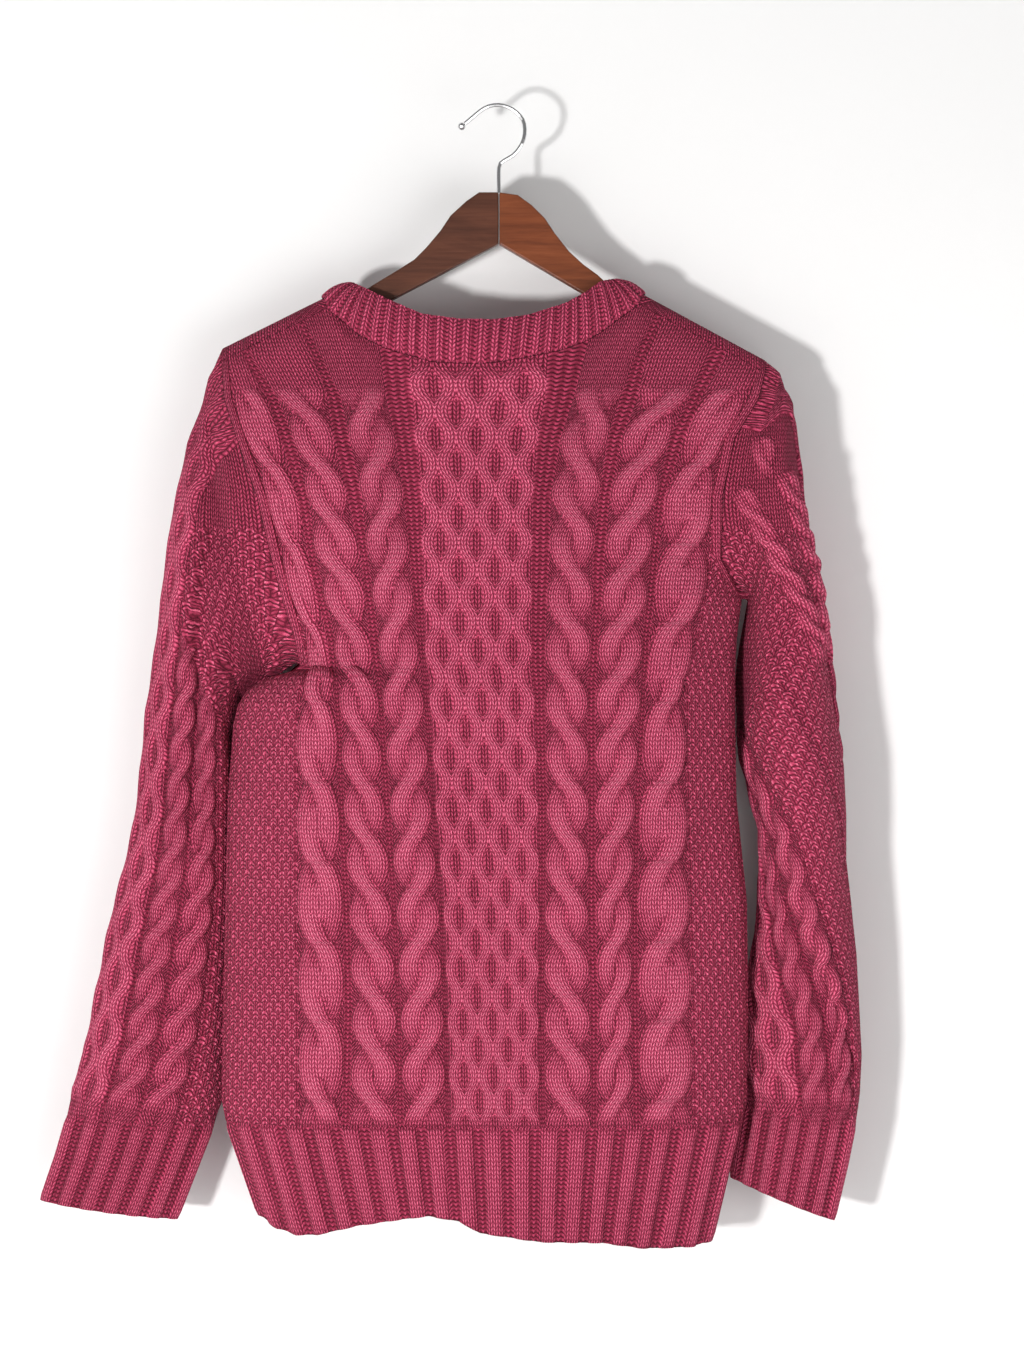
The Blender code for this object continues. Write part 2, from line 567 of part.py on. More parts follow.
def collar_loop(front, front_normal, back, back_normal, corner_left, corner_right):
    """The neck's edge all round, starting on the shoulder: points and normals."""
    across = slice(corner_left, corner_right + 1)
    behind = slice(corner_right - 1, corner_left, -1)
    points = np.vstack([front[-1, across], back[-1, behind]])
    normal = np.vstack([front_normal[-1, across], back_normal[-1, behind]])
    points = np.vstack([points[-1:], points])
    normal = np.vstack([normal[-1:], normal])
    return points, normal


def resample(points, share):
    run = np.concatenate(([0.0], np.cumsum(np.linalg.norm(np.diff(points[:, :3], axis=0), axis=1))))
    return np.stack([np.interp(share * run[-1], run, points[:, i]) for i in range(points.shape[1])], axis=-1)


def collar_edge(share):
    """Free edge all round: the tabled front, then a back that lies a little lower."""
    table = as_rows(COLLAR_EDGE)
    part = np.clip(np.where(share < 0.5, share, 1 - share) * 2, 0, 1)
    run = np.linspace(0, 1, 60)
    x = table[0, 0] + (table[-1, 0] - table[0, 0]) * (1 - np.cos(math.pi * run)) / 2
    z = np.interp(x, table[:, 0], table[:, 1])
    depth_x = np.interp(part, run, x)
    depth_z = np.interp(part, run, z)
    bow = np.sin(math.pi * part)
    front = share < 0.5
    y = np.where(front, -COLLAR_EDGE_DEPTH * bow ** 0.6, COLLAR_BACK_DEPTH * bow ** 0.3)
    return np.stack([depth_x, y, depth_z - np.where(front, 0, BACK_NECK_DROP * bow)], axis=-1)


def make_collar(front, front_normal, back, back_normal, frame, material, collection):
    """Ribbed neckband: a closed ring from the neck seam up to its free edge."""
    base, base_normal = collar_loop(front, front_normal, back, back_normal, frame[2], frame[3])
    count = COLLAR_RIBS * 2
    half = count // 2
    middle = frame[3] - frame[2] + 1
    over = middle + 1
    front_part = resample(np.hstack([base[:over + 1], base_normal[:over + 1]]), np.arange(half) / half)
    back_part = resample(np.hstack([base[over:], base_normal[over:]]), np.arange(half) / half)
    both = np.vstack([front_part, back_part])
    low, low_normal = both[:, :3], both[:, 3:]
    top = collar_edge(np.arange(count) / count)
    rise = unit(top - low)
    low = low + rise * NECK_SEAM
    levels = (0.0, 0.12, 0.5, 0.88, 1.0)
    grid = np.stack([low + (top - low) * level for level in levels])
    ring = np.concatenate([grid[:, -1:], grid, grid[:, :1]], axis=1)
    around = (ring[:, 2:] - ring[:, :-2]) / 2
    normal = unit(np.cross(around, np.gradient(grid, axis=0)))
    centre = np.array([-11.0, 0.0, -260.0])
    flip = np.sum(normal * (grid - centre), axis=-1, keepdims=True) < 0
    normal = np.where(flip, -normal, normal)
    normal[0] = low_normal
    bulge = np.array((0.0, 1.0, 3.0, 1.0, 0.0))
    rib = np.where(np.arange(count) % 2 == 0, COLLAR_RISE, 0.0)
    lift = bulge[:, None] + np.outer((0, 1, 1, 1, 0.7), rib)
    wall = Wall()
    outer = [wall.row(grid[k] + normal[k] * lift[k][:, None]) for k in range(5)]
    for k in range(4):
        wall.quads(outer[k], outer[k + 1], np.ones(count), closed=True)
    inner = [wall.row((grid[k] + normal[k] * (bulge[k] - WALL))[::2]) for k in (0, 2, 4)]
    for k in range(2):
        wall.zip(inner[k], inner[k + 1], closed=True)
    wall.zip(outer[0], inner[0], closed=True)
    wall.zip(outer[-1], inner[-1], closed=True)
    wall.build("collar", material, collection)


def sleeve_columns():
    """Places round a sleeve with the band's kind and strand number."""
    columns = []
    for kind, start, end in SLEEVE_BANDS:
        if kind == "moss":
            places = (0.0, 0.5) if start == 0.0 else (0.3, 0.7)
            columns += [(start + (end - start) * p, kind, 0) for p in places]
        elif kind == "rope":
            columns += [(start + (end - start) * i / 4, kind, i) for i in range(5)]
        else:
            columns += [(start + (end - start) * i / 8, kind, i) for i in range(9)]
    return columns


def sleeve_height(kind, strand, row):
    if kind == "rope":
        return rope_height(strand, row, SMALL_PERIOD) * 0.85
    if kind == "comb":
        if strand in (0, 8):
            return 0.0
        if strand % 2:
            return COMB_RISE
        return COMB_RISE * (0.7 if (strand // 2 + row // 2) % 2 == 0 else 0.1)
    return MOSS_RISE


def ring_at(rows, number, place, folds):
    """Plain points of a sleeve's section: a chord from the outer to the inner line, bowed both ways."""
    table = as_rows(rows)
    keys = np.arange(len(table))
    value = [np.interp(number, keys, table[:, i]) for i in range(8)]
    w = (1 + np.cos(2 * math.pi * place)) / 2
    swell = np.abs(np.sin(2 * math.pi * place)) ** SLEEVE_FULLNESS
    front = place < 0.5
    middle = value[6] + (value[7] - value[6]) * w
    dent = np.zeros_like(place)
    for start, first, end, last, deep, sharp, soft in folds:
        share = np.clip((number - start) / (end - start), 0, 1)
        strength = math.sin(math.pi * share) ** 0.5 if start < number < end else 0.0
        off = place - (first + (last - first) * share)
        dent += deep * strength * np.exp(-(off / np.where(off > 0, sharp, soft)) ** 2)
    y = np.where(front, middle - value[4] * swell + dent, middle + value[5] * swell)
    x = value[0] + (value[2] - value[0]) * w
    z = value[1] + (value[3] - value[1]) * w
    return np.stack([x, y, z], axis=-1)


def armhole_ring(side, front, front_normal, back, back_normal, z):
    """The panels' armhole edge as a closed ring from the underarm up the front and down the back."""
    j = 0 if side == "left" else COUNT - 1
    sign = -1.0 if side == "left" else 1.0
    k = underarm_row(z, j, side)
    up = front[k + 1:, j]
    up_normal = front_normal[k + 1:, j]
    over = back[k + 1:-1, j][::-1]
    over_normal = back_normal[k + 1:-1, j][::-1]
    start = front[k, j] * (1, 0, 1) + (0, 0, 0.5)
    points = np.vstack([start[None], up, over])
    normal = np.vstack([[[0, 0, -1.0]], up_normal, over_normal])
    closed = np.vstack([points[-1:], points, points[:1]])
    along = closed[2:] - closed[:-2]
    away = unit(np.cross(normal, along))
    flip = away[:, :1] * sign < 0
    away = np.where(flip, -away, away)
    away[0] = (sign, 0, 0)
    return points + away * SEAM, normal


def ring_places(points):
    """Share of the way round for each point of the armhole ring: half way at the shoulder's top."""
    run = np.concatenate(([0.0], np.cumsum(np.linalg.norm(np.diff(points, axis=0), axis=1))))
    end = run[-1] + np.linalg.norm(points[0] - points[-1])
    peak = int(np.argmax(points[:, 2]))
    front = 0.5 * run / run[peak]
    back = 0.5 + 0.5 * (run - run[peak]) / (end - run[peak])
    return np.where(np.arange(len(points)) <= peak, front, back)


def make_sleeve(side, rings, cuff, folds, twist, frame, panels, material, collection):
    """Sleeve and cuff in one wall, from the armhole ring down to the open cuff."""
    front, front_normal, back, back_normal = panels
    start, start_normal = armhole_ring(side, front, front_normal, back, back_normal, frame[1])
    places0 = ring_places(start)
    columns = sleeve_columns()
    pattern_place = np.array([c[0] for c in columns])
    numbers = np.linspace(0, len(rings) - 1, SLEEVE_ROWS)
    turns = at(twist, 1, numbers)
    looped_place = np.concatenate((places0, [1.0]))
    looped_start = np.vstack([start, start[:1]])
    peak = start[int(np.argmax(start[:, 2]))]
    grid = []
    for number, turn in zip(numbers, turns):
        at_place = (pattern_place - turn) % 1.0
        first = np.stack([np.interp(at_place, looped_place, looped_start[:, i]) for i in range(3)], axis=-1)
        ring = ring_at(rings, number, at_place, folds)
        blend = min(1.0, 0.4 + number / 2.2)
        blend = blend * blend * (3 - 2 * blend)
        ends = ring_at(rings, number, np.array([0.0, 0.5]), ())
        w = (1 + np.cos(2 * math.pi * at_place))[:, None] / 2
        carried = first + w * (ends[0] - start[0]) + (1 - w) * (ends[1] - peak)
        grid.append(ring * blend + carried * (1 - blend))
    grid = np.array(grid)
    looped = np.concatenate([grid[:, -1:], grid, grid[:, :1]], axis=1)
    around = looped[:, 2:] - looped[:, :-2]
    normal = unit(np.cross(around, np.gradient(grid, axis=0)))
    centre = grid.mean(axis=1, keepdims=True)
    inward = np.sum(normal * (grid - centre), axis=-1).mean() < 0
    normal = -normal if inward else normal
    height = np.array([[sleeve_height(kind, strand, k) for _, kind, strand in columns] for k in range(SLEEVE_ROWS)])
    height[0] *= 0.3
    height[-1] *= 0.5
    lean = np.array([1 if p < 0.5 else -1 for p in pattern_place])
    wall = Wall()
    outer = [wall.row(start)] + [wall.row(grid[k] + normal[k] * height[k][:, None]) for k in range(SLEEVE_ROWS)]
    wall.zip(outer[0], outer[1], closed=True)
    for k in range(1, SLEEVE_ROWS):
        wall.quads(outer[k], outer[k + 1], lean, closed=True)
    ribs, rib_normal, rib_height = cuff_grid(cuff, -turns[-1] % 1.0)
    rib_rows = [wall.row(ribs[k] + rib_normal[k] * rib_height[:, None]) for k in range(len(ribs))]
    wall.zip(outer[-1], rib_rows[0], closed=True)
    for k in range(len(ribs) - 1):
        wall.quads(rib_rows[k], rib_rows[k + 1], np.ones(len(rib_rows[k])), closed=True)
    inner = [wall.row(start - start_normal * WALL)]
    inner += [wall.row((grid[k] - normal[k] * WALL)[::2]) for k in range(0, SLEEVE_ROWS, 2)]
    inner += [wall.row((ribs[k] - rib_normal[k] * WALL)[::3]) for k in range(len(ribs))]
    for k in range(len(inner) - 1):
        wall.zip(inner[k], inner[k + 1], closed=True)
    wall.zip(outer[0], inner[0], closed=True)
    wall.zip(rib_rows[-1], inner[-1], closed=True)
    wall.build("sleeve_" + side, material, collection)


def cuff_grid(cuff, first_place):
    """Ribbed rings of a cuff: plain points, normals and rib heights, from the rib nearest to first_place."""
    place = []
    rise = []
    for rib in range(CUFF_RIBS):
        for part, high in ((0.0, 0), (0.3, 1), (0.75, 1)):
            place.append((rib + part) / CUFF_RIBS)
            rise.append(high * RIB_RISE)
    fine = np.linspace(0, 1, 721)
    grid = []
    for number in range(len(cuff)):
        section = ring_at(cuff, number, fine, ())
        run = np.concatenate(([0.0], np.cumsum(np.linalg.norm(np.diff(section, axis=0), axis=1))))
        even = np.interp(np.array(place) * run[-1], run, fine)
        first = 3 * int(np.argmin(abs(even[::3] - first_place)))
        grid.append(ring_at(cuff, number, np.roll(even, -first), ()))
    grid = np.array(grid)
    looped = np.concatenate([grid[:, -1:], grid, grid[:, :1]], axis=1)
    around = looped[:, 2:] - looped[:, :-2]
    normal = unit(np.cross(around, np.gradient(grid, axis=0)))
    centre = grid.mean(axis=1, keepdims=True)
    if np.sum(normal * (grid - centre), axis=-1).mean() < 0:
        normal = -normal
    return grid, normal, np.array(rise)


def flat_board(name, outline, thickness, bevel, material, collection):
    """A flat board from its outline in the hanger's plane, with softened edges."""
    curve = bpy.data.curves.new(name + "_outline", "CURVE")
    curve.dimensions = "2D"
    curve.fill_mode = "BOTH"
    spline = curve.splines.new("POLY")
    spline.points.add(len(outline) - 1)
    for point, (x, z) in zip(spline.points, outline):
        point.co = (x * MM, z * MM, 0.0, 1.0)
    spline.use_cyclic_u = True
    curve.extrude = thickness / 2 * MM
    holder = bpy.data.objects.new(name + "_outline", curve)
    collection.objects.link(holder)
    holder.rotation_euler = (math.pi / 2, 0, 0)
    bpy.context.view_layer.update()
    depsgraph = bpy.context.evaluated_depsgraph_get()
    mesh = bpy.data.meshes.new_from_object(holder.evaluated_get(depsgraph))
    bm = bmesh.new()
    bm.from_mesh(mesh)
    bmesh.ops.remove_doubles(bm, verts=bm.verts, dist=0.00001)
    bmesh.ops.recalc_face_normals(bm, faces=bm.faces)
    bm.to_mesh(mesh)
    bm.free()
    mesh.materials.clear()
    mesh.materials.append(material)
    board = bpy.data.objects.new(name, mesh)
    board.matrix_world = holder.matrix_world.copy()
    collection.objects.link(board)
    bpy.data.objects.remove(holder)
    soften = board.modifiers.new("soft_edges", "BEVEL")
    soften.width = bevel * MM
    soften.segments = 2
    soften.limit_method = "ANGLE"
    soften.angle_limit = math.radians(60)
    return board


def make_hanger(materials, collection):
    """Two mitred halves and the hook that carries them."""
    for side in ("left", "right"):
        outline = HANGER_TOP[side] + HANGER_TIP[side] + HANGER_LOW[side]
        flat_board("hanger_" + side, outline, ARM_THICK, 1.2, materials[side], collection)
    curve = bpy.data.curves.new("hanger_hook_path", "CURVE")
    curve.dimensions = "3D"
    curve.bevel_depth = WIRE_RADIUS * MM
    curve.bevel_resolution = 2
    curve.use_fill_caps = True
    path = smooth_path(as_rows(HOOK_PATH), HOOK_POINTS)
    spline = curve.splines.new("POLY")
    spline.points.add(len(path) - 1)
    for point, (x, z) in zip(spline.points, path):
        point.co = (x * MM, 0.0, z * MM, 1.0)
    hook = bpy.data.objects.new("hanger_hook", curve)
    curve.materials.append(materials["chrome"])
    collection.objects.link(hook)
    end = path[-1] + unit(path[-1] - path[-2]) * (BALL_RADIUS + 0.2)
    bpy.ops.mesh.primitive_uv_sphere_add(segments=16, ring_count=8, radius=BALL_RADIUS * MM,
                                         location=(end[0] * MM, 0, end[1] * MM))
    ball = bpy.context.active_object
    ball.name = "hook_tip"
    ball.data.shade_smooth()
    ball.data.materials.append(materials["chrome"])
    for owner in list(ball.users_collection):
        owner.objects.unlink(ball)
    collection.objects.link(ball)


def smooth_path(points, count):
    """Even points on a Catmull-Rom curve through the path's own points."""
    padded = np.vstack([2 * points[0] - points[1], points, 2 * points[-1] - points[-2]])
    fine = []
    for i in range(1, len(padded) - 2):
        a, b, c, d = padded[i - 1:i + 3]
        for t in np.linspace(0, 1, 12, endpoint=False):
            fine.append(0.5 * (2 * b + (c - a) * t + (2 * a - 5 * b + 4 * c - d) * t * t
                               + (3 * b - a - 3 * c + d) * t ** 3))
    fine.append(points[-1])
    fine = np.array(fine)
    run = np.concatenate(([0.0], np.cumsum(np.linalg.norm(np.diff(fine, axis=0), axis=1))))
    share = np.linspace(0, run[-1], count)
    return np.stack([np.interp(share, run, fine[:, i]) for i in range(fine.shape[1])], axis=-1)


def principled(name, colour, roughness, metallic=0.0):
    material = bpy.data.materials.new(name)
    material.use_nodes = True
    shader = material.node_tree.nodes["Principled BSDF"]
    shader.inputs["Base Color"].default_value = (*colour, 1.0)
    shader.inputs["Roughness"].default_value = roughness
    shader.inputs["Metallic"].default_value = metallic
    return material


def main():
    for obj in list(bpy.data.objects):
        bpy.data.objects.remove(obj)
    collection = bpy.data.collections.new("cable_knit_sweater")
    bpy.context.scene.collection.children.link(collection)
    yarn = principled("rose_yarn", (0.58, 0.06, 0.14), 0.9)
    materials = {
        "left": principled("brown_wood", (0.11, 0.04, 0.025), 0.35),
        "right": principled("chestnut_wood", (0.21, 0.06, 0.025), 0.35),
        "chrome": principled("chrome", (0.8, 0.8, 0.8), 0.12, 1.0),
    }
    frame = body_frame()
    front, front_normal = make_panel("front_panel", "front", frame, yarn, collection)
    back, back_normal = make_panel("back_panel", "back", frame, yarn, collection)
    make_collar(front, front_normal, back, back_normal, frame, yarn, collection)
    panels = (front, front_normal, back, back_normal)
    make_sleeve("left", LEFT_RINGS, LEFT_CUFF, LEFT_FOLDS, LEFT_TWIST, frame, panels, yarn, collection)
    make_sleeve("right", RIGHT_RINGS, RIGHT_CUFF, RIGHT_FOLDS, RIGHT_TWIST, frame, panels, yarn, collection)
    make_hanger(materials, collection)


main()
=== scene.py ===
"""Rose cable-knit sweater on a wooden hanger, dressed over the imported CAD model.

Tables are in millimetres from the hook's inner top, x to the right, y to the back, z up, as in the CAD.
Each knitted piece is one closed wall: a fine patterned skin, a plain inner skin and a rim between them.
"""
import math
from functools import partialmethod

import bpy
import numpy as np
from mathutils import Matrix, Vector


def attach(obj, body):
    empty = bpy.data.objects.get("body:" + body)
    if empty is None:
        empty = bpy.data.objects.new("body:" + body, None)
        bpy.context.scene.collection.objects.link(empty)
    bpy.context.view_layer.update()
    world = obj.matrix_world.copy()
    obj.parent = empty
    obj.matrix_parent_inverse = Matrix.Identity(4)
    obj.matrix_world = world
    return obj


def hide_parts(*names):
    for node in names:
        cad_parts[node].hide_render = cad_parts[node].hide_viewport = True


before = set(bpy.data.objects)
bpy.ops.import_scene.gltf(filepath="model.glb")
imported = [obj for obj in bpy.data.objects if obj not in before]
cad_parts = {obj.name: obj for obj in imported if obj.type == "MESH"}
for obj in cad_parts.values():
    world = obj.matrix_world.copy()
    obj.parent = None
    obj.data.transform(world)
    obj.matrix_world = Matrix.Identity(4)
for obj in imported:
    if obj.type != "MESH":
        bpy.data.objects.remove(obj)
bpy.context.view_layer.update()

MM = 0.001
STITCH = 4.3               # width of a knit stitch
ROW = 3.37                 # height of a knitted row
WALL = 3.2
SEAM = 0.2
ROLL = 11.0                # radius of the cloth over the hanger's arm
INNER_STEP = 5             # the plain inner skin has one column and row for five of the outer

# Heights of the raised pattern
ROPE_RISE = 5.4
COMB_RISE = 4.6
COMB_FLOOR = 0.2           # the pits' floor as a share of the rise
MOSS_RISE = 1.2
RIB_RISE = 3.2
RIB_KNIT = 0.62            # share of a rib that is knit
COLLAR_RISE = 1.5
CHAIN_RISE = 2.0           # ridge along the armhole
CHAIN_WIDTH = 9.0
CHAIN_STITCHES = 2

CABLE_START = -765.5       # height of the lowest cable crossing
# Rows between two crossings of a rope, and in one wave of a honeycomb
ROPE_ROWS = {"small": 12.0, "wide": 18.0, "sleeve": 9.0}
COMB_ROWS = {"comb": 12.0, "sleeve_comb": 13.0}
CABLE_END = -222.0         # above this the cables run out into plain knitting
CABLE_FADE = 5.0
KNIT, PURL, MOSS = 0.0, 1.0, 2.0
BAND_SHIFT = 7             # stitches that part one band's coordinate from the next one's

# Bands of the body from left to right: mesh columns, kind, stitches, lean of the upper strand
BODY_BANDS = (
    (22, "moss", 11, 0), (26, "wide", 12, -1), (4, "channel", 2, 0), (26, "small", 8, -1),
    (4, "channel", 2, 0), (24, "small", 8, 1), (4, "channel", 3, 0), (60, "comb", 18, 0),
    (4, "channel", 3, 0), (24, "small", 8, -1), (4, "channel", 2, 0), (26, "small", 8, 1),
    (4, "channel", 2, 0), (26, "wide", 12, 1), (22, "moss", 11, 0),
)
# Edges of the bands: z, then x from the side seam on the left to the one on the right
BAND_ROWS = np.array((
    (-900, -200, -151, -119, -113, -76, -71, -39, -34, 33, 37, 72, 76, 104, 110, 150, 180),
    (-800, -208, -151, -119, -113, -76, -71, -39, -34, 33, 37, 72, 76, 104, 110, 150, 188),
    (-771, -214, -151, -118, -112, -76, -71, -39, -35, 32, 37, 72, 76, 104, 109, 150, 194),
    (-694, -213, -151, -116, -110, -76, -73, -41, -37, 31, 36, 71, 77, 103, 108, 149, 195),
    (-616, -211, -152, -117, -112, -80, -76, -44, -40, 32, 37, 69, 75, 103, 107, 147, 194),
    (-538, -209, -152, -120, -116, -86, -81, -50, -46, 31, 38, 70, 75, 105, 109, 145, 186),
    (-480, -205, -152, -122, -118, -89, -85, -54, -49, 29, 37, 69, 75, 108, 112, 144, 185),
    (-464, -201, -150, -123, -119, -90, -86, -55, -50, 28, 37, 69, 75, 109, 113, 144, 185),
    (-453, -194, -149, -124, -120, -91, -87, -56, -51, 28, 37, 69, 75, 110, 113, 144, 185),
    (-444, -180, -146, -124, -120, -91, -87, -56, -51, 27, 37, 69, 75, 110, 113, 143, 185),
    (-437, -151, -143, -127, -122, -94, -88, -58, -53, 26, 37, 70, 76, 110, 115, 146, 185),
    (-414, -156, -147, -130, -124, -97, -90, -60, -54, 26, 37, 72, 77, 111, 116, 152, 186),
    (-383, -165, -157, -137, -131, -100, -94, -63, -55, 26, 38, 73, 80, 114, 120, 158, 190),
    (-352, -173, -165, -144, -138, -103, -98, -66, -56, 26, 40, 73, 82, 117, 123, 163, 173),
    (-305, -184, -176, -152, -144, -114, -103, -71, -57, 27, 41, 78, 86, 122, 128, 165, 173),
    (-259, -200, -193, -166, -156, -125, -113, -78, -62, 31, 49, 85, 96, 132, 144, 175, 183),
    (-228, -210, -204, -177, -169, -130, -120, -85, -65, 37, 59, 95, 108, 148, 157, 194, 202),
    (-197, -213, -208, -195, -189, -141, -135, -89, -68, 39, 67, 106, 114, 162, 175, 205, 210),
    (-150, -214, -212, -203, -198, -164, -158, -96, -80, 50, 78, 128, 134, 185, 190, 206, 210),
), dtype=float)
# Depth of the body in front of and behind the hanger's plane: z, front, back
DEPTH_ROWS = np.array((
    (-900, 44, 14), (-789, 50, 18), (-616, 58, 22), (-461, 60, 24),
    (-352, 55, 23), (-259, 44, 19), (-180, 34, 14),
), dtype=float)
ARMHOLE_FRONT, ARMHOLE_BACK, ARMHOLE_EASE = 33.0, 15.0, 32.0
TOP_EASE = 160.0
NECK_DEPTH = 19.0
UNDERARM = (-437.0, -383.0)
BEND_WIDTH, BEND_ROWS = 60.0, 12     # reach of the rows' bend at an underarm
HEM_TOP = -786.0
# Lower edge of the hem: x, z
HEM_EDGE = np.array((
    (-186, -857), (-169, -867), (-153, -871), (-137, -870), (-106, -862), (-75, -857), (-52, -854),
    (-29, -858), (-13, -867), (33, -874), (80, -875), (111, -880), (150, -881), (168, -878)), dtype=float)
HEM_RIBS = 20
HEM_TALL = 78.0
HEM_PULL = (27.0, 20.0)    # how far the rib draws the sides in, left and right
HEM_RIGHT = 190.5
HEM_LEFT, HEM_WIDTH = -200.0, 385.0     # where the search for the hem's columns starts

NECK_LEFT = (-131.5, -157.95)
NECK_RIGHT = (109.5, -154.64)
NECKLINE = np.array((
    (-131.5, -157.95), (-124, -164.5), (-107, -179.5), (-85, -190.5), (-50, -201), (-13, -203),
    (15, -199), (49, -192), (68, -185), (81, -177), (102, -161), (109.5, -154.64)), dtype=float)
COLLAR_EDGE = np.array((
    (-111, -137.5), (-85, -151), (-58, -163), (-30, -167), (-2, -167.5), (24, -164),
    (53, -154.5), (68, -146), (80, -137), (89, -134.8)), dtype=float)
COLLAR_RIBS = 56
BACK_NECK_DROP = 3.0
# Creases of the body: x and z at the start and the end, width, height outwards
BODY_CREASES = (
    (-150, -250, -60, -420, 26, 2.2), (130, -240, 70, -400, 24, 2.0), (-95, -520, -110, -790, 20, -2.4),
    (60, -560, 75, -790, 22, 1.8), (-40, -700, -55, -860, 24, -2.6), (20, -690, 10, -870, 26, 2.2),
    (-175, -500, -185, -780, 14, 2.0), (165, -420, 150, -640, 18, -2.2), (120, -720, 128, -870, 16, 1.8),
    (-205, -460, -130, -470, 14, 1.6),
)
FACE_DEPTH = {"front": 1, "back": 2}     # column of the body's depth
# The back's columns round a neck corner: x where they leave the back, and where they end on the neck's edge
TURN_START = ((-148, -135.5, -131), (128, 114.5, 109))
TURN_END = ((-131.5, -135.5, -131), (109.5, 114.5, 109))
TURN_COLUMNS = 8
NECK_STRIP = 24.0          # height of the back's last rows below the neckline
PULLED_COLUMNS = 30        # columns outside the corner that lean towards it

HEM_ROWS = 30
FIELD_ROWS = 290
ARC_ROWS = 20

# Sleeves: outer x, outer z, inner x, inner z, depth in front, depth behind, and the middle's y at the outer
# and the inner line
LEFT_RINGS = np.array((
    (-222.5, -210, -156, -432, 34, 22, 0, 0),
    (-227, -229, -165, -437, 36, 24, 0, 9), (-232, -243, -178, -447, 40, 25, 0, 21),
    (-238, -262, -191, -457, 44, 26, 0, 23), (-243, -290, -198, -465, 46, 27, 0, 26),
    (-249, -321, -201, -481, 46, 27, 0, 28), (-254, -356, -204, -498, 44, 26, 0, 28),
    (-258, -391, -203, -520, 41, 25, 0, 29), (-263, -429, -202, -543, 37, 23, 0, 29),
    (-269, -468, -201, -568, 33, 22, 0, 30), (-273, -511, -200, -594, 31, 20, 0, 30),
    (-278, -554, -199, -621, 30, 19, 0, 31), (-287, -593, -199, -648, 29, 18, 0, 31),
    (-297, -631, -200, -676, 29, 18, 0, 31), (-304, -666, -202, -703, 29, 18, 0, 30),
    (-311, -701, -206, -730, 28, 18, 0, 28), (-318, -736, -212, -758, 27, 18, 0, 24),
    (-330, -771, -219, -784, 25, 18, 0, 20),
), dtype=float)
RIGHT_RINGS = np.array((
    (218, -207, 193, -382, 34, 22, 0, 0),
    (222, -218, 195, -384, 36, 24, 0, 5), (228, -231, 194, -394, 40, 26, 0, 13),
    (230, -251, 191, -411, 43, 28, 0, 20), (234, -286, 188, -431, 45, 30, 0, 24),
    (240, -325, 187, -452, 46, 30, 0, 26), (249, -360, 188, -476, 46, 30, 0, 25),
    (254, -395, 191, -501, 46, 31, 0, 20), (257, -429, 198, -527, 45, 32, 0, 13),
    (261, -468, 205, -554, 44, 33, 0, 9), (268, -511, 208, -581, 43, 32, 0, 8),
    (270, -550, 207, -608, 42, 31, 0, 12), (270, -585, 206, -635, 41, 30, 0, 16),
    (274, -620, 202, -662, 40, 28, 0, 21), (278, -659, 196, -687, 39, 26, 0, 26),
    (280, -697, 193, -714, 37, 24, 0, 29), (282, -736, 192, -742, 33, 22, 0, 29),
    (280, -777, 193, -770, 29, 20, 0, 26),
), dtype=float)
LEFT_CUFF = np.array((
    (-333, -783, -222, -793, 21, 16, 2, 18), (-342, -814, -234, -824, 19, 15, 2, 16),
    (-354, -849, -250, -865, 19, 15, 2, 14)), dtype=float)
RIGHT_CUFF = np.array((
    (278, -787, 192, -779, 24, 18, 0, 22), (271, -822, 188, -802, 21, 16, 0, 18),
    (261, -864, 183, -833, 21, 16, 0, 14)), dtype=float)
SLEEVE_FULLNESS = 1.3
CUFF_RIBS = 13
# Twist of the pattern round a sleeve: ring number, share of the way round
LEFT_TWIST = np.array(((0, 0.0), (17, 0.0)), dtype=float)
RIGHT_TWIST = np.array((
    (0, 0.0), (2, -0.08), (5.3, -0.2), (8.5, -0.29), (11, -0.4), (15, -0.56), (17, -0.58)))
# Folds of a sleeve: ring and place at the start and end, depth, width on the sharp and on the soft side
LEFT_FOLDS = ((1.0, 0.29, 10.5, 0.235, 10.0, 0.03, 0.05), (0.4, 0.4, 3.2, 0.3, 4.0, 0.03, 0.05))
RIGHT_FOLDS = ((9.3, 0.04, 16.7, 0.44, 9.0, 0.018, 0.085), (3.0, 0.2, 8.5, 0.33, 4.0, 0.04, 0.05))
# Bands round a sleeve: kind, share of the way round where it ends, stitches, lean of the upper strand
SLEEVE_BANDS = (
    ("moss", 0.165, 10, 0), ("channel", 0.172, 1, 0), ("sleeve", 0.25, 6, -1), ("channel", 0.26, 1, 0),
    ("sleeve", 0.332, 6, -1), ("channel", 0.342, 1, 0), ("sleeve_comb", 0.658, 18, 0),
    ("channel", 0.668, 1, 0), ("sleeve", 0.74, 6, 1), ("channel", 0.75, 1, 0), ("sleeve", 0.828, 6, 1),
    ("channel", 0.835, 1, 0), ("moss", 1.0, 10, 0),
)
SLEEVE_COLUMNS = 240
SLEEVE_ROWS = 265
SLEEVE_CAP_ROWS = 5
CUFF_ROWS = 30
CAP_STOP = 105             # grid rows of the sleeve's cap, where the cables have run out
CAP_BLEND = 12             # rows below it over which the relief comes back
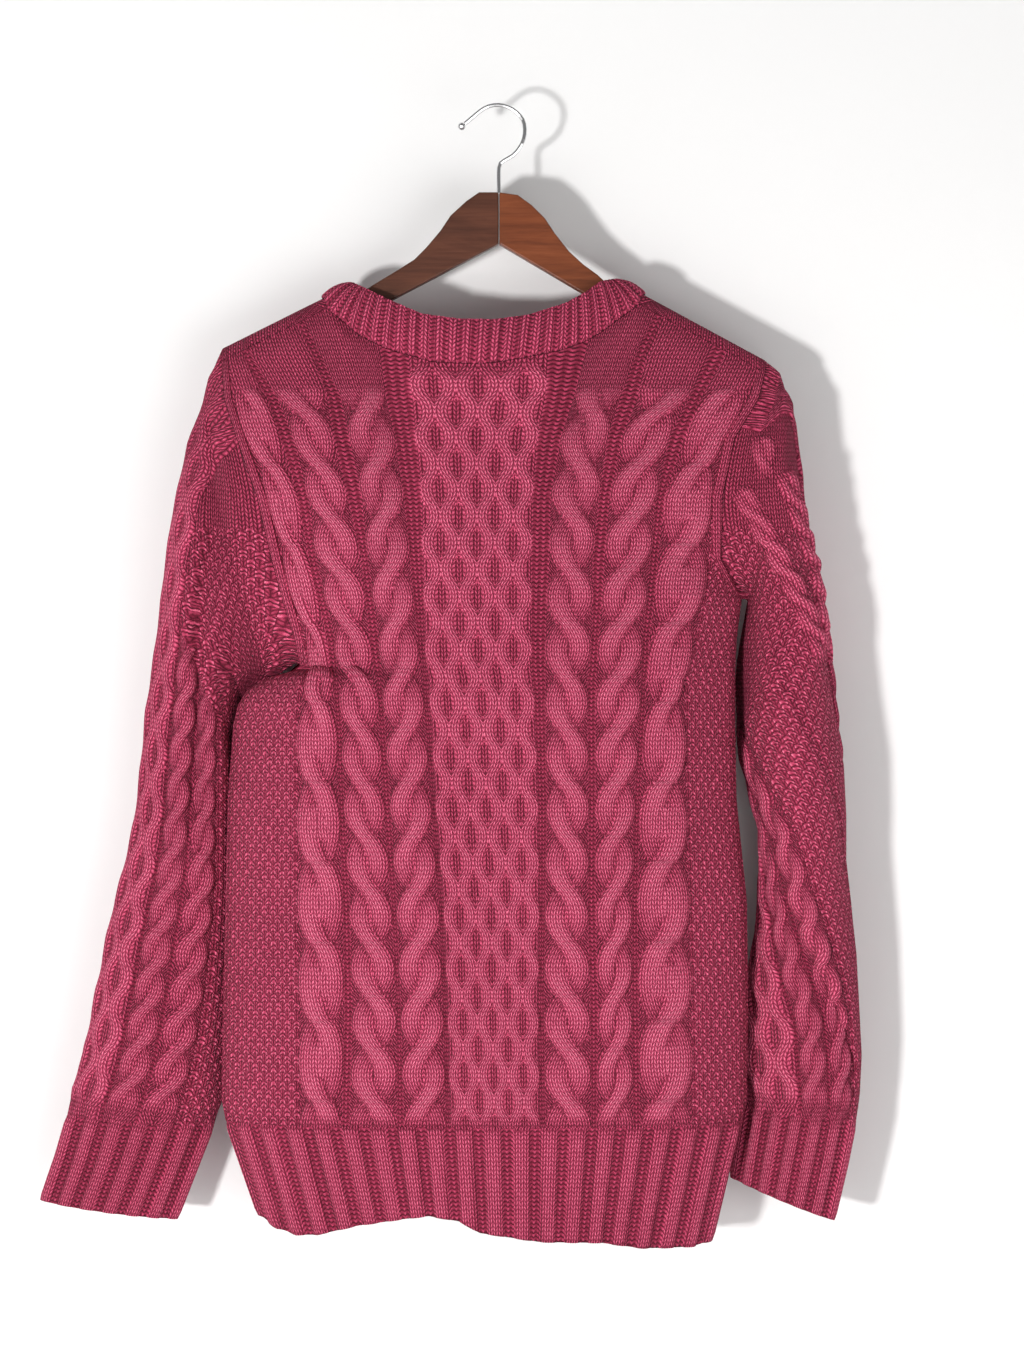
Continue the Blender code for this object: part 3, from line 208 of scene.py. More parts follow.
# Beaded ropes on the right sleeve's cap, from the top down: x and z
CAP_ROPES = {
    "left": (),
    "right": (
        ((204, -256), (206, -292)),
        ((186, -297), (222, -362), (235, -387), (255, -433)),
        ((220, -284), (235, -325), (250, -362), (257, -420)),
    ),
}
CAP_ROPE_WIDTH = 17.0
CAP_ROPE_ROWS = 7.4
CAP_RADIUS = 38.0
CAP_PLAIN_Z = -330.0       # above this the cap is plain, below it moss
CAP_RELIEF = 0.14          # share of the relief that the cap keeps


def read(table, column, value):
    """Straight-line reading of a table's column, its first column being the key."""
    order = np.argsort(table[:, 0])
    return np.interp(value, table[order, 0], table[order, column])


def soft_step(value, low, high):
    """0 below low, 1 above high, and a smooth cubic between."""
    t = np.clip((value - low) / (high - low), 0, 1)
    return t * t * (3 - 2 * t)


def unit(vectors):
    return vectors / np.maximum(np.linalg.norm(vectors, axis=-1, keepdims=True), 1e-9)


def run_along(points):
    """Length from the first point on, along a line of points or down a grid's columns."""
    steps = np.linalg.norm(np.diff(points, axis=0), axis=-1)
    return np.concatenate([np.zeros((1, *steps.shape[1:])), np.cumsum(steps, axis=0)])


def points_at(place, keys, points):
    """Straight-line reading of a line of points at places along it."""
    return np.stack([np.interp(place, keys, column) for column in points.T], axis=-1)


def near_line(x, z, x0, z0, x1, z1):
    """Share of the way along a line for its nearest point to each place, and the distance from it."""
    dx, dz = x1 - x0, z1 - z0
    share = np.clip(((x - x0) * dx + (z - z0) * dz) / (dx ** 2 + dz ** 2), 0, 1)
    return share, np.hypot(x - x0 - share * dx, z - z0 - share * dz)


def hump(t, power, tip):
    """Round profile over t from -1 to 1: (1 - |t|^power)^tip, and 0 outside."""
    return np.clip(1 - np.abs(t) ** power, 0, 1) ** tip


def from_middle(x, left, right):
    """-1 at the left edge and 1 at the right one."""
    return np.clip((x - (left + right) / 2) / ((right - left) / 2), -1, 1)


def add_object(name, data):
    obj = bpy.data.objects.new(name, data)
    bpy.context.scene.collection.objects.link(obj)
    return obj


def shoulder_z(x):
    """Height of the cloth on the hanger's arms: one straight slope on each side."""
    return np.where(x < 0, -81.2 + 0.5 * x, -84.4 - 0.541 * x)


# Pattern: height of the relief, and the stitches' own coordinates

def rope(share, rows, period, lean, leaf):
    """Two strands wound round each other: each swings across as a sine of the rows and lifts as a cosine.
    A strand is round, 1 - |distance from its middle|^2.2, and the lower one dips beside the upper one's edge.
    leaf adds the flat oval between two crossings of a wide cable.
    Gives the height from 0 to about 1, +1 or -1 for the strand on top, and the place of its middle."""
    turn = math.pi * rows / period
    swing = 0.25 * lean * np.sign(np.sin(turn)) * np.abs(np.sin(turn)) ** (0.62 if leaf else 0.85)
    lift = np.cos(turn)
    half = 0.27
    place = [(share - 0.5 - sign * swing) / half for sign in (1, -1)]
    body = [hump(p, 2.2, 0.55) * (0.78 + 0.22 * sign * lift) for p, sign in zip(place, (1, -1))]
    for own, other, sign in ((0, 1, 1), (1, 0, -1)):
        under = np.clip(-sign * lift, 0, 1)
        body[own] = body[own] * (1 - 0.6 * under * np.exp(-((np.abs(place[other]) - 1.0) / 0.4) ** 2))
    if leaf:
        flat = hump(2 * share - 1, 3.5, 0.6)
        away = np.abs(np.sin(turn))
        body = [np.maximum(b, flat * 0.76 * soft_step(away, 0.6, 0.9)) for b in body]
    which = np.where(body[0] > body[1], 1.0, np.where(body[0] < body[1], -1.0, np.sign(share - 0.5) * lean))
    return np.maximum(body[0], body[1]), which, 0.5 + which * swing


def comb(share, rows, period):
    """Six waving round strands; neighbours lean together in turn on each side, which leaves honeycomb pits.
    The middle of strand k stands at (k + 1/2)/6, moved by plus or minus a cosine of the rows."""
    turn = 2 * math.pi * rows / period
    wave = np.sign(np.cos(turn)) * np.abs(np.cos(turn)) ** 0.8
    best = np.zeros_like(share)
    which = np.full(share.shape, -1.0)
    middle = np.full(share.shape, 0.5)
    for k in range(6):
        side = (-1) ** k
        centre = (k + 0.5) / 6 + side * 0.235 / 6 * wave
        height = hump((share - centre) * 6 / 0.45, 2.2, 0.6) * (0.92 + 0.08 * side * np.sin(turn))
        taken = height > best
        best = np.where(taken, height, best)
        which = np.where(taken, float(k), which)
        middle = np.where(taken, centre, middle)
    return best, which, middle


def pattern(kind, share, rows, width, lean, plain):
    """Relief in millimetres of one band at arrays of places, with the stitch coordinate across:
    distance from the strand's middle as a share of the band, and the whole stitches added to it."""
    if kind in ROPE_ROWS:
        top, which, middle = rope(share, rows, ROPE_ROWS[kind], lean, kind == "wide")
        slab = hump(2 * share - 1, 6, 0.7) * 0.3
        knit = plain < 0.5
        return (ROPE_RISE * (top * (1 - plain) + slab * plain),
                np.where(knit, share - middle, share - 0.5), np.where(knit, 2 * which, 0.0))
    if kind in COMB_ROWS:
        top, which, middle = comb(share, rows, COMB_ROWS[kind])
        return COMB_RISE * (COMB_FLOOR + (1 - COMB_FLOOR) * top), share - middle, 3 * which + 1.5
    if kind == "channel":
        return 0 * share, share, 0 * share
    edge = np.clip(np.minimum(share, 1 - share) * width / 4, 0, 1)
    return MOSS_RISE * edge, share, 0 * share


def stitch_across(kind, corners, rows, lean, plain, stitches, inner):
    """Stitch coordinate across at the four corners of each quad; the whole quad follows one strand."""
    centre, middle_row = corners.mean(axis=-1, keepdims=True), rows.mean(axis=-1, keepdims=True)
    if kind == "channel":
        return corners * stitches
    if kind == "moss":
        return (corners - inner) * stitches
    _, offset, whole = pattern(kind, centre, middle_row, 1.0, lean, plain)
    before = pattern(kind, centre, middle_row - 0.5, 1.0, lean, plain)
    after = pattern(kind, centre, middle_row + 0.5, 1.0, lean, plain)
    slope = np.where(before[2] == after[2], after[1] - before[1], 0.0)
    return (offset + corners - centre + slope * (rows - middle_row)) * stitches + whole


def stitch_kind(kind):
    return {"channel": PURL, "moss": MOSS}.get(kind, KNIT)


# Walls

def grid_quads(rows, columns, closed):
    """Point numbers of a grid's quads; a closed grid joins its last column to its first."""
    row, left = np.meshgrid(np.arange(rows - 1), np.arange(columns if closed else columns - 1), indexing="ij")
    low, high, right = row * columns, (row + 1) * columns, (left + 1) % columns
    return np.stack([low + left, low + right, high + right, high + left], axis=-1).reshape(-1, 4)


def rim(outer, inner, closed):
    """Triangles between an outer edge and an inner edge with one point for every INNER_STEP of the outer."""
    faces = []
    spans = len(inner) if closed else len(inner) - 1
    i = np.arange(spans)
    for step in range(INNER_STEP):
        a = outer[(i * INNER_STEP + step) % len(outer)]
        b = outer[(i * INNER_STEP + step + 1) % len(outer)]
        faces.append(np.stack([inner[i], a, b], axis=-1))
    last = outer[((i + 1) * INNER_STEP) % len(outer)]
    faces.append(np.stack([inner[i], last, inner[(i + 1) % len(inner)]], axis=-1))
    return np.concatenate(faces)


def knitted_wall(name, outer, inner, closed, stitch_uv, kinds, relief, faces_in):
    """One closed wall from the patterned grid and one in INNER_STEP points of the plain grid. stitch_uv holds
    four corners for each outer quad, kinds one number for each quad, relief one for each point; relief sets
    the yarn's painted shade, and the inner skin and rims get 0.3."""
    inner, stitch_uv = inner[::INNER_STEP, ::INNER_STEP], stitch_uv.reshape(-1, 4, 2)
    rows, columns = outer.shape[:2]
    points = np.concatenate([outer.reshape(-1, 3), inner.reshape(-1, 3)]) * MM
    quads = grid_quads(rows, columns, closed)
    base = rows * columns
    inner_rows, inner_columns = inner.shape[:2]
    inner_quads = grid_quads(inner_rows, inner_columns, closed)[:, ::-1] + base
    number = np.arange(base).reshape(rows, columns)
    inner_number = base + np.arange(inner_rows * inner_columns).reshape(inner_rows, inner_columns)
    edges = [rim(number[0], inner_number[0], closed), rim(number[-1], inner_number[-1], closed)[:, ::-1]]
    if not closed:
        edges += [rim(number[:, 0], inner_number[:, 0], False)[:, ::-1],
                  rim(number[:, -1], inner_number[:, -1], False)]
    triangles = np.concatenate(edges)
    if faces_in:
        quads, inner_quads, triangles = quads[:, ::-1], inner_quads[:, ::-1], triangles[:, ::-1]
        stitch_uv = stitch_uv[:, ::-1]
    loops = np.concatenate([quads.ravel(), inner_quads.ravel(), triangles.ravel()]).astype(np.int32)
    sizes = np.concatenate([np.full(len(quads) + len(inner_quads), 4), np.full(len(triangles), 3)])
    starts = np.concatenate([[0], np.cumsum(sizes)[:-1]]).astype(np.int32)
    mesh = bpy.data.meshes.new(name)
    mesh.vertices.add(len(points))
    mesh.vertices.foreach_set("co", points.ravel())
    mesh.loops.add(len(loops))
    mesh.loops.foreach_set("vertex_index", loops)
    mesh.polygons.add(len(sizes))
    mesh.polygons.foreach_set("loop_start", starts)
    mesh.polygons.foreach_set("use_smooth", np.ones(len(sizes), bool))
    mesh.update(calc_edges=True)
    plain_uv = np.stack([points[:, 0] + points[:, 1], points[:, 2]], axis=-1) / MM / (STITCH, ROW)
    uv = np.concatenate([stitch_uv.reshape(-1, 2), plain_uv[loops[len(quads) * 4:]]])
    layer = mesh.uv_layers.new(name="stitches")
    layer.data.foreach_set("uv", uv.astype(np.float32).ravel())
    # The relief attribute, the raised height as a share of the rope's rise, darkens the yarn as painted shade
    # where it is low.
    for label, domain, own, rest in (("stitch_kind", "FACE", kinds, PURL), ("relief", "POINT", relief, 0.3)):
        values = mesh.attributes.new(label, "FLOAT", domain).data
        values.foreach_set("value", np.append(own, np.full(len(values) - own.size, rest)).astype(np.float32))
    return add_object(name, mesh)


def normals(points, closed=False):
    """Unit normals of a grid from its own slopes."""
    if closed:
        looped = np.concatenate([points[:, -1:], points, points[:, :1]], axis=1)
        across = looped[:, 2:] - looped[:, :-2]
    else:
        across = np.gradient(points, axis=1)
    return unit(np.cross(across, np.gradient(points, axis=0)))


def quad_corners(grid, closed=False):
    """The four corner values of every quad of a grid, in the order of grid_quads."""
    if closed:
        grid = np.concatenate([grid, grid[:, :1]], axis=1)
    return np.stack([grid[:-1, :-1], grid[:-1, 1:], grid[1:, 1:], grid[1:, :-1]], axis=-1)


# Body

def body_columns():
    """Band number and share within it for every column of the body's grid."""
    counts = [band[0] for band in BODY_BANDS]
    number = np.repeat(np.arange(len(counts)), counts)
    share = np.concatenate([np.arange(count) / count for count in counts])
    return np.append(number, number[-1]), np.append(share, 1.0)


BAND, SHARE = body_columns()
COLUMNS = len(BAND)


def column_x(z):
    """x of every column at heights z, whose last axis is the column: its share between its band's edges."""
    edges = np.stack([read(BAND_ROWS, 1 + i, z) for i in range(16)])
    left, right = (np.moveaxis(edges[edge, ..., np.arange(COLUMNS)], 0, -1) for edge in (BAND, BAND + 1))
    return left + SHARE * (right - left)


def top_edge(x):
    inside = (x > NECK_LEFT[0]) & (x < NECK_RIGHT[0])
    return np.where(inside, read(NECKLINE, 1, x), shoulder_z(x) - ROLL)


def across_neck(x):
    return np.clip((x - NECK_LEFT[0]) / (NECK_RIGHT[0] - NECK_LEFT[0]), 0, 1)


def body_top():
    """x and z where every column meets the shoulder seam or the neckline, and the corner columns."""
    top = np.full(COLUMNS, -200.0)
    for _ in range(60):
        top = 0.5 * top + 0.5 * top_edge(column_x(top))
    x = column_x(top)
    left = int(np.argmin(abs(x - NECK_LEFT[0])))
    right = int(np.argmin(abs(x - NECK_RIGHT[0])))
    x[left], top[left] = NECK_LEFT
    x[right], top[right] = NECK_RIGHT
    return x, top, left, right


TOP_X, TOP_Z, CORNER_LEFT, CORNER_RIGHT = body_top()


def body_depth(x, z, tops, top_depth, face):
    """Distance from the hanger's plane: a full middle that rounds off to the side seams."""
    middle = read(DEPTH_ROWS, FACE_DEPTH[face], z)
    w = from_middle(x, read(BAND_ROWS, 1, z), read(BAND_ROWS, 16, z))
    opening = ARMHOLE_FRONT if face == "front" else ARMHOLE_BACK
    rise = [opening * (1 - np.exp(-np.clip(z - u, 0, None) / ARMHOLE_EASE)) for u in UNDERARM]
    edge = rise[0] + (rise[1] - rise[0]) * (w + 1) / 2
    flat = [np.clip((z - u) / ARMHOLE_EASE, 0, 1) for u in UNDERARM]
    power = 0.5 + 0.5 * (flat[0] + (flat[1] - flat[0]) * (w + 1) / 2)
    full = edge + (middle - edge) * np.clip(1 - abs(w) ** 3, 0, 1) ** power
    ease = 1 - (1 - np.clip((tops - z) / TOP_EASE, 0, 1)) ** 3
    return np.maximum(top_depth + (full - top_depth) * ease, SEAM / 2)


def body_creases(x, z, face):
    """Soft troughs and ridges along the lines of BODY_CREASES, in millimetres outwards."""
    mirror = 1 if face == "front" else -1
    total = np.zeros_like(x)
    for *ends, width, height in BODY_CREASES:
        away = near_line(mirror * x, z, *ends)[1]
        total += height * np.exp(-(away / width) ** 2)
    return total


def hem_share(face):
    """Place of each column across the hem, and the number of ribs before it, by length round the section."""
    z = np.full(COLUMNS, HEM_TOP)
    x = column_x(z)
    w = from_middle(x, x[0], x[-1])
    y = body_depth(x, z, TOP_Z, ROLL, face)
    run = np.concatenate([[0], np.cumsum(np.hypot(np.diff(x), np.diff(y)))])
    return w, run / run[-1] * HEM_RIBS


def hem_points(face):
    """Hem rows from the free edge up to the field: sides pulled in, lower edge as tabled."""
    w, _ = hem_share(face)
    rows = np.linspace(0, 1, HEM_ROWS + 1)[:-1]
    points = np.zeros((HEM_ROWS, COLUMNS, 3))
    side = column_x(np.full(COLUMNS, HEM_TOP))[0]
    for k, part in enumerate(rows):
        x = (w + 1) / 2 * HEM_WIDTH + HEM_LEFT
        for _ in range(10):
            z = read(HEM_EDGE, 1, x) * (1 - part) + HEM_TOP * part
            pull = np.clip((HEM_TOP - z) / HEM_TALL, 0, 1.3)
            left, right = side + HEM_PULL[0] * pull, HEM_RIGHT - HEM_PULL[1] * pull
            x = (left + right) / 2 + w * (right - left) / 2
        middle = read(DEPTH_ROWS, FACE_DEPTH[face], z)
        depth = np.maximum(middle * np.sqrt(np.clip(1 - abs(w) ** 3, 0, 1)), SEAM / 2)
        points[k] = np.stack([x, -depth if face == "front" else depth, z], axis=-1)
    return points


def underarm_bend(z):
    """Moves rows near each underarm so that one of them runs through it."""
    for column, level in ((0, UNDERARM[0]), (COLUMNS - 1, UNDERARM[1])):
        nearest = int(np.argmin(abs(z[:, column] - level)))
        near = np.clip(1 - abs(TOP_X - TOP_X[column]) / BEND_WIDTH, 0, 1)
        rows = np.clip(1 - abs(np.arange(len(z)) - nearest) / BEND_ROWS, 0, 1)
        z = z + (level - z[nearest, column]) * rows[:, None] * near[None, :]
    return z


def front_points():
    """Front: hem, then rows of equal share from the hem's top to the shoulder seam and the neckline."""
    share = np.arange(FIELD_ROWS + 1)[:, None] / FIELD_ROWS
    z = underarm_bend(HEM_TOP + (TOP_Z - HEM_TOP) * share)
    x = column_x(z)
    x[-1] = TOP_X
    bow = np.sin(math.pi * across_neck(TOP_X)) ** 0.7
    depth = body_depth(x, z, TOP_Z, ROLL + NECK_DEPTH * bow, "front")
    depth += body_creases(x, z, "front") * soft_step(TOP_Z - z, 0, 60) * soft_step(depth, 2, 16)
    shoulder = (np.arange(COLUMNS) <= CORNER_LEFT) | (np.arange(COLUMNS) >= CORNER_RIGHT)
    z[-1] = np.where(shoulder, z[-1] - SEAM / 2, z[-1])
    field = np.stack([x, -depth, z], axis=-1)
    return np.concatenate([hem_points("front"), field])


def turn_tables():
    """For the back's columns: the sweep over the shoulder, and x where it starts and ends."""
    number = np.arange(COLUMNS)
    sweep = np.where((number <= CORNER_LEFT) | (number >= CORNER_RIGHT), math.pi, 0.0)
    start, end = TOP_X.copy(), TOP_X.copy()
    for side, corner, inward in ((0, CORNER_LEFT, 1), (1, CORNER_RIGHT, -1)):
        step = np.arange(TURN_COLUMNS + 1)
        part, turned = step / TURN_COLUMNS, corner + inward * step
        sweep[turned] = math.pi * (1 - part)
        start[turned] = np.interp(part, (0, 0.5, 1), TURN_START[side])
        end[turned] = np.interp(part, (0, 0.5, 1), TURN_END[side])
        step = np.arange(1, PULLED_COLUMNS)
        pull = (TURN_START[side][0] - TOP_X[corner]) * (1 - step / PULLED_COLUMNS) ** 2
        start[corner - inward * step] += pull
    return sweep, start, end


def back_points():
    """Back: straight up, then over the hanger's arm to the shoulder seam on the front."""
    sweep, start_x, end_x = turn_tables()
    field_rows = FIELD_ROWS - ARC_ROWS
    neck = (sweep == 0)
    drop = BACK_NECK_DROP * np.sin(math.pi * across_neck(end_x))
    neck_z = read(NECKLINE, 1, np.where(neck, TOP_X, end_x)) - drop
    tops = np.where(neck, neck_z, TOP_Z)
    stop = np.where(neck, tops - NECK_STRIP, shoulder_z(start_x) - ROLL)
    number = np.arange(COLUMNS)
    blend = soft_step(np.minimum(number - CORNER_LEFT, CORNER_RIGHT - number), 0, TURN_COLUMNS + 13)
    top_depth = ROLL + 2.5 * blend
    share = np.arange(field_rows + 1)[:, None] / field_rows
    z = underarm_bend(HEM_TOP + (stop - HEM_TOP) * share)
    x = column_x(z)
    ease = soft_step(share, 0.86, 1.0)
    x = x + (start_x - x[-1]) * ease
    depth = body_depth(x, z, np.where(neck, tops, stop), top_depth, "back")
    depth += body_creases(x, z, "back") * soft_step(stop - z, 0, 60) * soft_step(depth, 2, 10) * 0.8
    field = np.stack([x, depth, z], axis=-1)
    part = np.arange(1, ARC_ROWS + 1)[:, None] / ARC_ROWS
    angle = sweep * part
    arc_x = start_x + (end_x - start_x) * part ** 3
    arc = np.stack([arc_x, top_depth * np.cos(angle) * np.ones_like(part),
                    shoulder_z(arc_x) - ROLL + ROLL * np.sin(angle)], axis=-1)
    flat_z = stop + (tops - stop) * part
    flat_x = x[-1] + (TOP_X - x[-1]) * part
    flat = np.stack([flat_x, body_depth(flat_x, flat_z, tops, top_depth, "back"), flat_z], axis=-1)
    arc = np.where(neck[None, :, None], flat, arc)
    arc[-1, :, 2] += np.where(sweep == math.pi, SEAM / 2, 0)
    return np.concatenate([hem_points("back"), field, arc])


def side_corners(width):
    """Width of a band at the four corners of its quads, from its width at each row."""
    return np.stack([width[:-1], width[:-1], width[1:], width[1:]], axis=-1)[:, None, :]


def band_width(points, first, stop):
    """Width of a band at each row, smoothed along the rows."""
    width = np.linalg.norm(points[:, stop] - points[:, first], axis=-1)
    for _ in range(12):
        width = np.convolve(np.pad(width, 1, mode="edge"), (0.25, 0.5, 0.25), mode="valid")
    return width


def chain_rows(z, number):
    """Rows of a side band that are knitted as a chain: those above the underarm."""
    level = {0: UNDERARM[0], len(BODY_BANDS) - 1: UNDERARM[1]}.get(number, np.inf)
    return z > level + 3


def body_relief(points, face):
    """Relief at every point of the grid, and each quad's stitch coordinates and kind."""
    rows, columns = points.shape[:2]
    z = points[..., 2].copy()
    run = run_along(points)
    over = rows - ARC_ROWS - 1 if face == "back" else rows
    if face == "back":
        z[over:] = z[over - 1] + (run[over:] - run[over - 1])
    knit_row = (z - CABLE_START) / ROW
    plain = soft_step(z, CABLE_END - CABLE_FADE, CABLE_END + CABLE_FADE)
    height = np.zeros((rows, columns))
    uv = np.zeros((rows - 1, columns - 1, 4, 2))
    kinds = np.zeros((rows - 1, columns - 1))
    corner_rows = quad_corners(knit_row)
    corner_plain = quad_corners(plain).mean(axis=-1, keepdims=True)
    first = 0
    for number, (count, kind, stitches, lean) in enumerate(BODY_BANDS):
        stop = first + count
        span = slice(first, stop + 1)
        share = np.broadcast_to(np.arange(count + 1) / count, (rows, count + 1))
        width = band_width(points, first, stop)
        relief = pattern(kind, share, knit_row[:, span], width[:, None], lean, plain[:, span])[0]
        from_edge = (share if number == 0 else 1 - share) * width[:, None]
        chain_share = from_edge / np.minimum(width, CHAIN_WIDTH)[:, None]
        chain = chain_rows(z[:, first], number)[:, None] & (chain_share <= 1)
        relief = np.where(chain, CHAIN_RISE * hump(2 * chain_share - 1, 2.4, 0.6), relief)
        height[:, span] = np.maximum(height[:, span], relief)
        corners = quad_corners(share)
        across = stitches if kind in ("channel", "comb") else side_corners(width) / STITCH
        uv[:, first:stop, :, 0] = BAND_SHIFT * number + stitch_across(
            kind, corners, corner_rows[:, first:stop], lean, corner_plain[:, first:stop], across,
            1.0 if first == 0 else 0.0)
        kinds[:, first:stop] = stitch_kind(kind)
        on_chain = chain[:-1, :-1] & chain[:-1, 1:]
        uv[:, first:stop, :, 0] = np.where(
            on_chain[..., None], quad_corners(chain_share) * CHAIN_STITCHES, uv[:, first:stop, :, 0])
        kinds[:, first:stop] = np.where(on_chain, KNIT, kinds[:, first:stop])
        first = stop
    uv[..., 1] = corner_rows
    edge = np.minimum(np.arange(columns), np.arange(columns)[::-1])
    height *= soft_step(edge, 0, 3)[None, :]
    rib_relief(height, uv, kinds, face)
    if face == "back":
        height[over - 6:] *= np.interp(np.arange(rows - over + 6), (0, 9), (1, 0))[:, None]
        kinds[over:, :CORNER_LEFT] = KNIT
        kinds[over:, CORNER_RIGHT:] = KNIT
    else:
        height[-8:] *= np.linspace(1, 0.1, 8)[:, None]
    return height, uv, kinds


def rib_profile(place):
    """Three knit stitches stand up as a round ridge beside two sunk purl stitches."""
    return hump((place % 1.0) / (RIB_KNIT / 2) - 1, 2.6, 0.6)


def rib_uv(place):
    """Stitch coordinate across ribs: three stitches in the raised part, two in the sunk part."""
    whole, f = np.floor(place), place % 1.0
    return whole * 5 + np.where(f < RIB_KNIT, f / RIB_KNIT * 3, 3 + (f - RIB_KNIT) / (1 - RIB_KNIT) * 2)


def rib_quads(corner_place):
    """Stitch coordinate across and kind of each quad, from the ribs' place at its corners."""
    centre = corner_place.mean(axis=-1, keepdims=True)
    knit = centre % 1 < RIB_KNIT
    scale = np.where(knit, 3 / RIB_KNIT, 2 / (1 - RIB_KNIT))
    return rib_uv(centre) + (corner_place - centre) * scale, np.where(knit[..., 0], KNIT, PURL)


def rib_relief(height, uv, kinds, face):
    """Writes the hem's ribs into the lowest rows, where they end in a soft step below the field."""
    _, place = hem_share(face)
    rows = HEM_ROWS
    sway = np.linspace(0.1, 0, rows)[:, None] * np.sin(place[None] * 0.9)
    ribs = rib_profile(place[None] + sway) * RIB_RISE
    ribs *= np.interp(np.arange(rows), (0, 2, rows - 3, rows - 1), (0.7, 1, 1, 0.75))[:, None]
    height[:rows] = ribs
    height[rows:rows + 6] *= np.linspace(0.1, 1, 6)[:, None]
    corner_place = quad_corners(np.broadcast_to(place, (rows + 1, COLUMNS)))
    uv[:rows, :, :, 0], kinds[:rows] = rib_quads(corner_place)


def make_body(name, face):
    """A body panel with its plain points and normals, which the sleeves and the collar start from."""
    points = front_points() if face == "front" else back_points()
    normal = normals(points)
    outward = -1.0 if face == "front" else 1.0
    turned = (normal[len(normal) // 2, COLUMNS // 2, 1] * outward) < 0
    normal = -normal if turned else normal
    height, uv, kinds = body_relief(points, face)
    # height / ROPE_RISE becomes the relief attribute: painted shade where the knitting is low.
    obj = knitted_wall(name, points + normal * height[..., None], points - normal * WALL, False, uv, kinds,
                       height / ROPE_RISE, face == "back")
    return obj, points, normal


# Sleeves

def ring(table, number, place, folds=()):
    """Section of a sleeve at ring numbers (rows) and places round it: a chord bowed to the front and the
    back, with each fold as a dent whose depth runs as a sine along it."""
    value = np.moveaxis(points_at(number, np.arange(len(table)), table), -1, 0)
    w = (1 + np.cos(2 * math.pi * place)) / 2
    swell = np.abs(np.sin(2 * math.pi * place)) ** SLEEVE_FULLNESS
    middle = value[6] + (value[7] - value[6]) * w
    dent = np.zeros(np.broadcast(number, place).shape)
    for start, first, end, last, deep, sharp, soft in folds:
        share = np.clip((number - start) / (end - start), 0, 1)
        strength = np.sin(math.pi * share) ** 0.5
        off = place - first - (last - first) * share
        dent = dent + deep * strength * np.exp(-(off / np.where(off > 0, sharp, soft)) ** 2)
    front = (place % 1.0) < 0.5
    y = np.where(front, middle - value[4] * swell + dent, middle + value[5] * swell)
    return np.stack([value[0] + (value[2] - value[0]) * w, y, value[1] + (value[3] - value[1]) * w], axis=-1)


def armhole(side, front, front_normal, back, back_normal):
    """The armhole's edge, a ring from the underarm up the front and down the back, moved out by the seam."""
    edge, sign, level = (0, -1.0, UNDERARM[0]) if side == "left" else (COLUMNS - 1, 1.0, UNDERARM[1])
    low = HEM_ROWS + int(np.argmin(abs(front[HEM_ROWS:, edge, 2] - level)))
    low_back = HEM_ROWS + int(np.argmin(abs(back[HEM_ROWS:HEM_ROWS + 200, edge, 2] - level)))
    start = front[low, edge] * (1, 0, 1) + (0, 0, 0.5)
    points = np.vstack([start[None], front[low + 1:, edge], back[low_back + 1:-1, edge][::-1]])
    normal = np.vstack([[[0, 0, -1.0]], front_normal[low + 1:, edge],
                        back_normal[low_back + 1:-1, edge][::-1]])
    closed = np.vstack([points[-1:], points, points[:1]])
    away = unit(np.cross(normal, closed[2:] - closed[:-2]))
    away = np.where(away[:, :1] * sign < 0, -away, away)
    away[0] = (sign, 0, 0)
    return points + away * SEAM


def ring_places(points):
    """Share of the way round for each point of the armhole ring: half way at its highest point."""
    run = run_along(points)
    end = run[-1] + np.linalg.norm(points[0] - points[-1])
    peak = int(np.argmax(points[:, 2]))
    front = 0.5 * run / run[peak]
    back = 0.5 + 0.5 * (run - run[peak]) / (end - run[peak])
    return np.where(np.arange(len(points)) <= peak, front, back), peak


def sleeve_grid(rings, cuff, folds, twist, start):
    """Plain points of the sleeve and cuff, with each column's place in the pattern."""
    places, peak = ring_places(start)
    table_place = np.append(places, 1.0)
    table_points = np.vstack([start, start[:1]])
    pattern_place = np.arange(SLEEVE_COLUMNS) / SLEEVE_COLUMNS
    numbers = np.linspace(0, len(rings) - 1, SLEEVE_ROWS)[:, None]
    place = (pattern_place - np.interp(numbers, twist[:, 0], twist[:, 1])) % 1.0
    first = points_at(place, table_place, table_points)
    blend = soft_step(0.4 + numbers / 2.2, 0, 1)[..., None]
    ends = [ring(rings, numbers, np.array([[p]])) for p in (0.0, 0.5)]
    w = ((1 + np.cos(2 * math.pi * place)) / 2)[..., None]
    carried = first + w * (ends[0] - start[0]) + (1 - w) * (ends[1] - start[peak])
    body = ring(rings, numbers, place, folds) * blend + carried * (1 - blend)
    step = (np.arange(SLEEVE_CAP_ROWS) / SLEEVE_CAP_ROWS)[:, None, None]
    rim_points = points_at((pattern_place - twist[0, 1]) % 1.0, table_place, table_points)
    cap = rim_points * (1 - step) + body[0] * step
    end_place = (pattern_place - twist[-1, 1]) % 1.0
    cuff_numbers = np.linspace(0, len(cuff) - 1, CUFF_ROWS)[:, None]
    fine = np.linspace(0, 1, 1441)
    section = ring(cuff, np.array([[1.0]]), fine[None])[0]
    run = run_along(section)
    even = np.interp(end_place, fine, run / run[-1])
    ribs = ring(cuff, cuff_numbers, np.broadcast_to(end_place, (CUFF_ROWS, SLEEVE_COLUMNS)))
    return np.concatenate([cap, body, ribs]), even * CUFF_RIBS


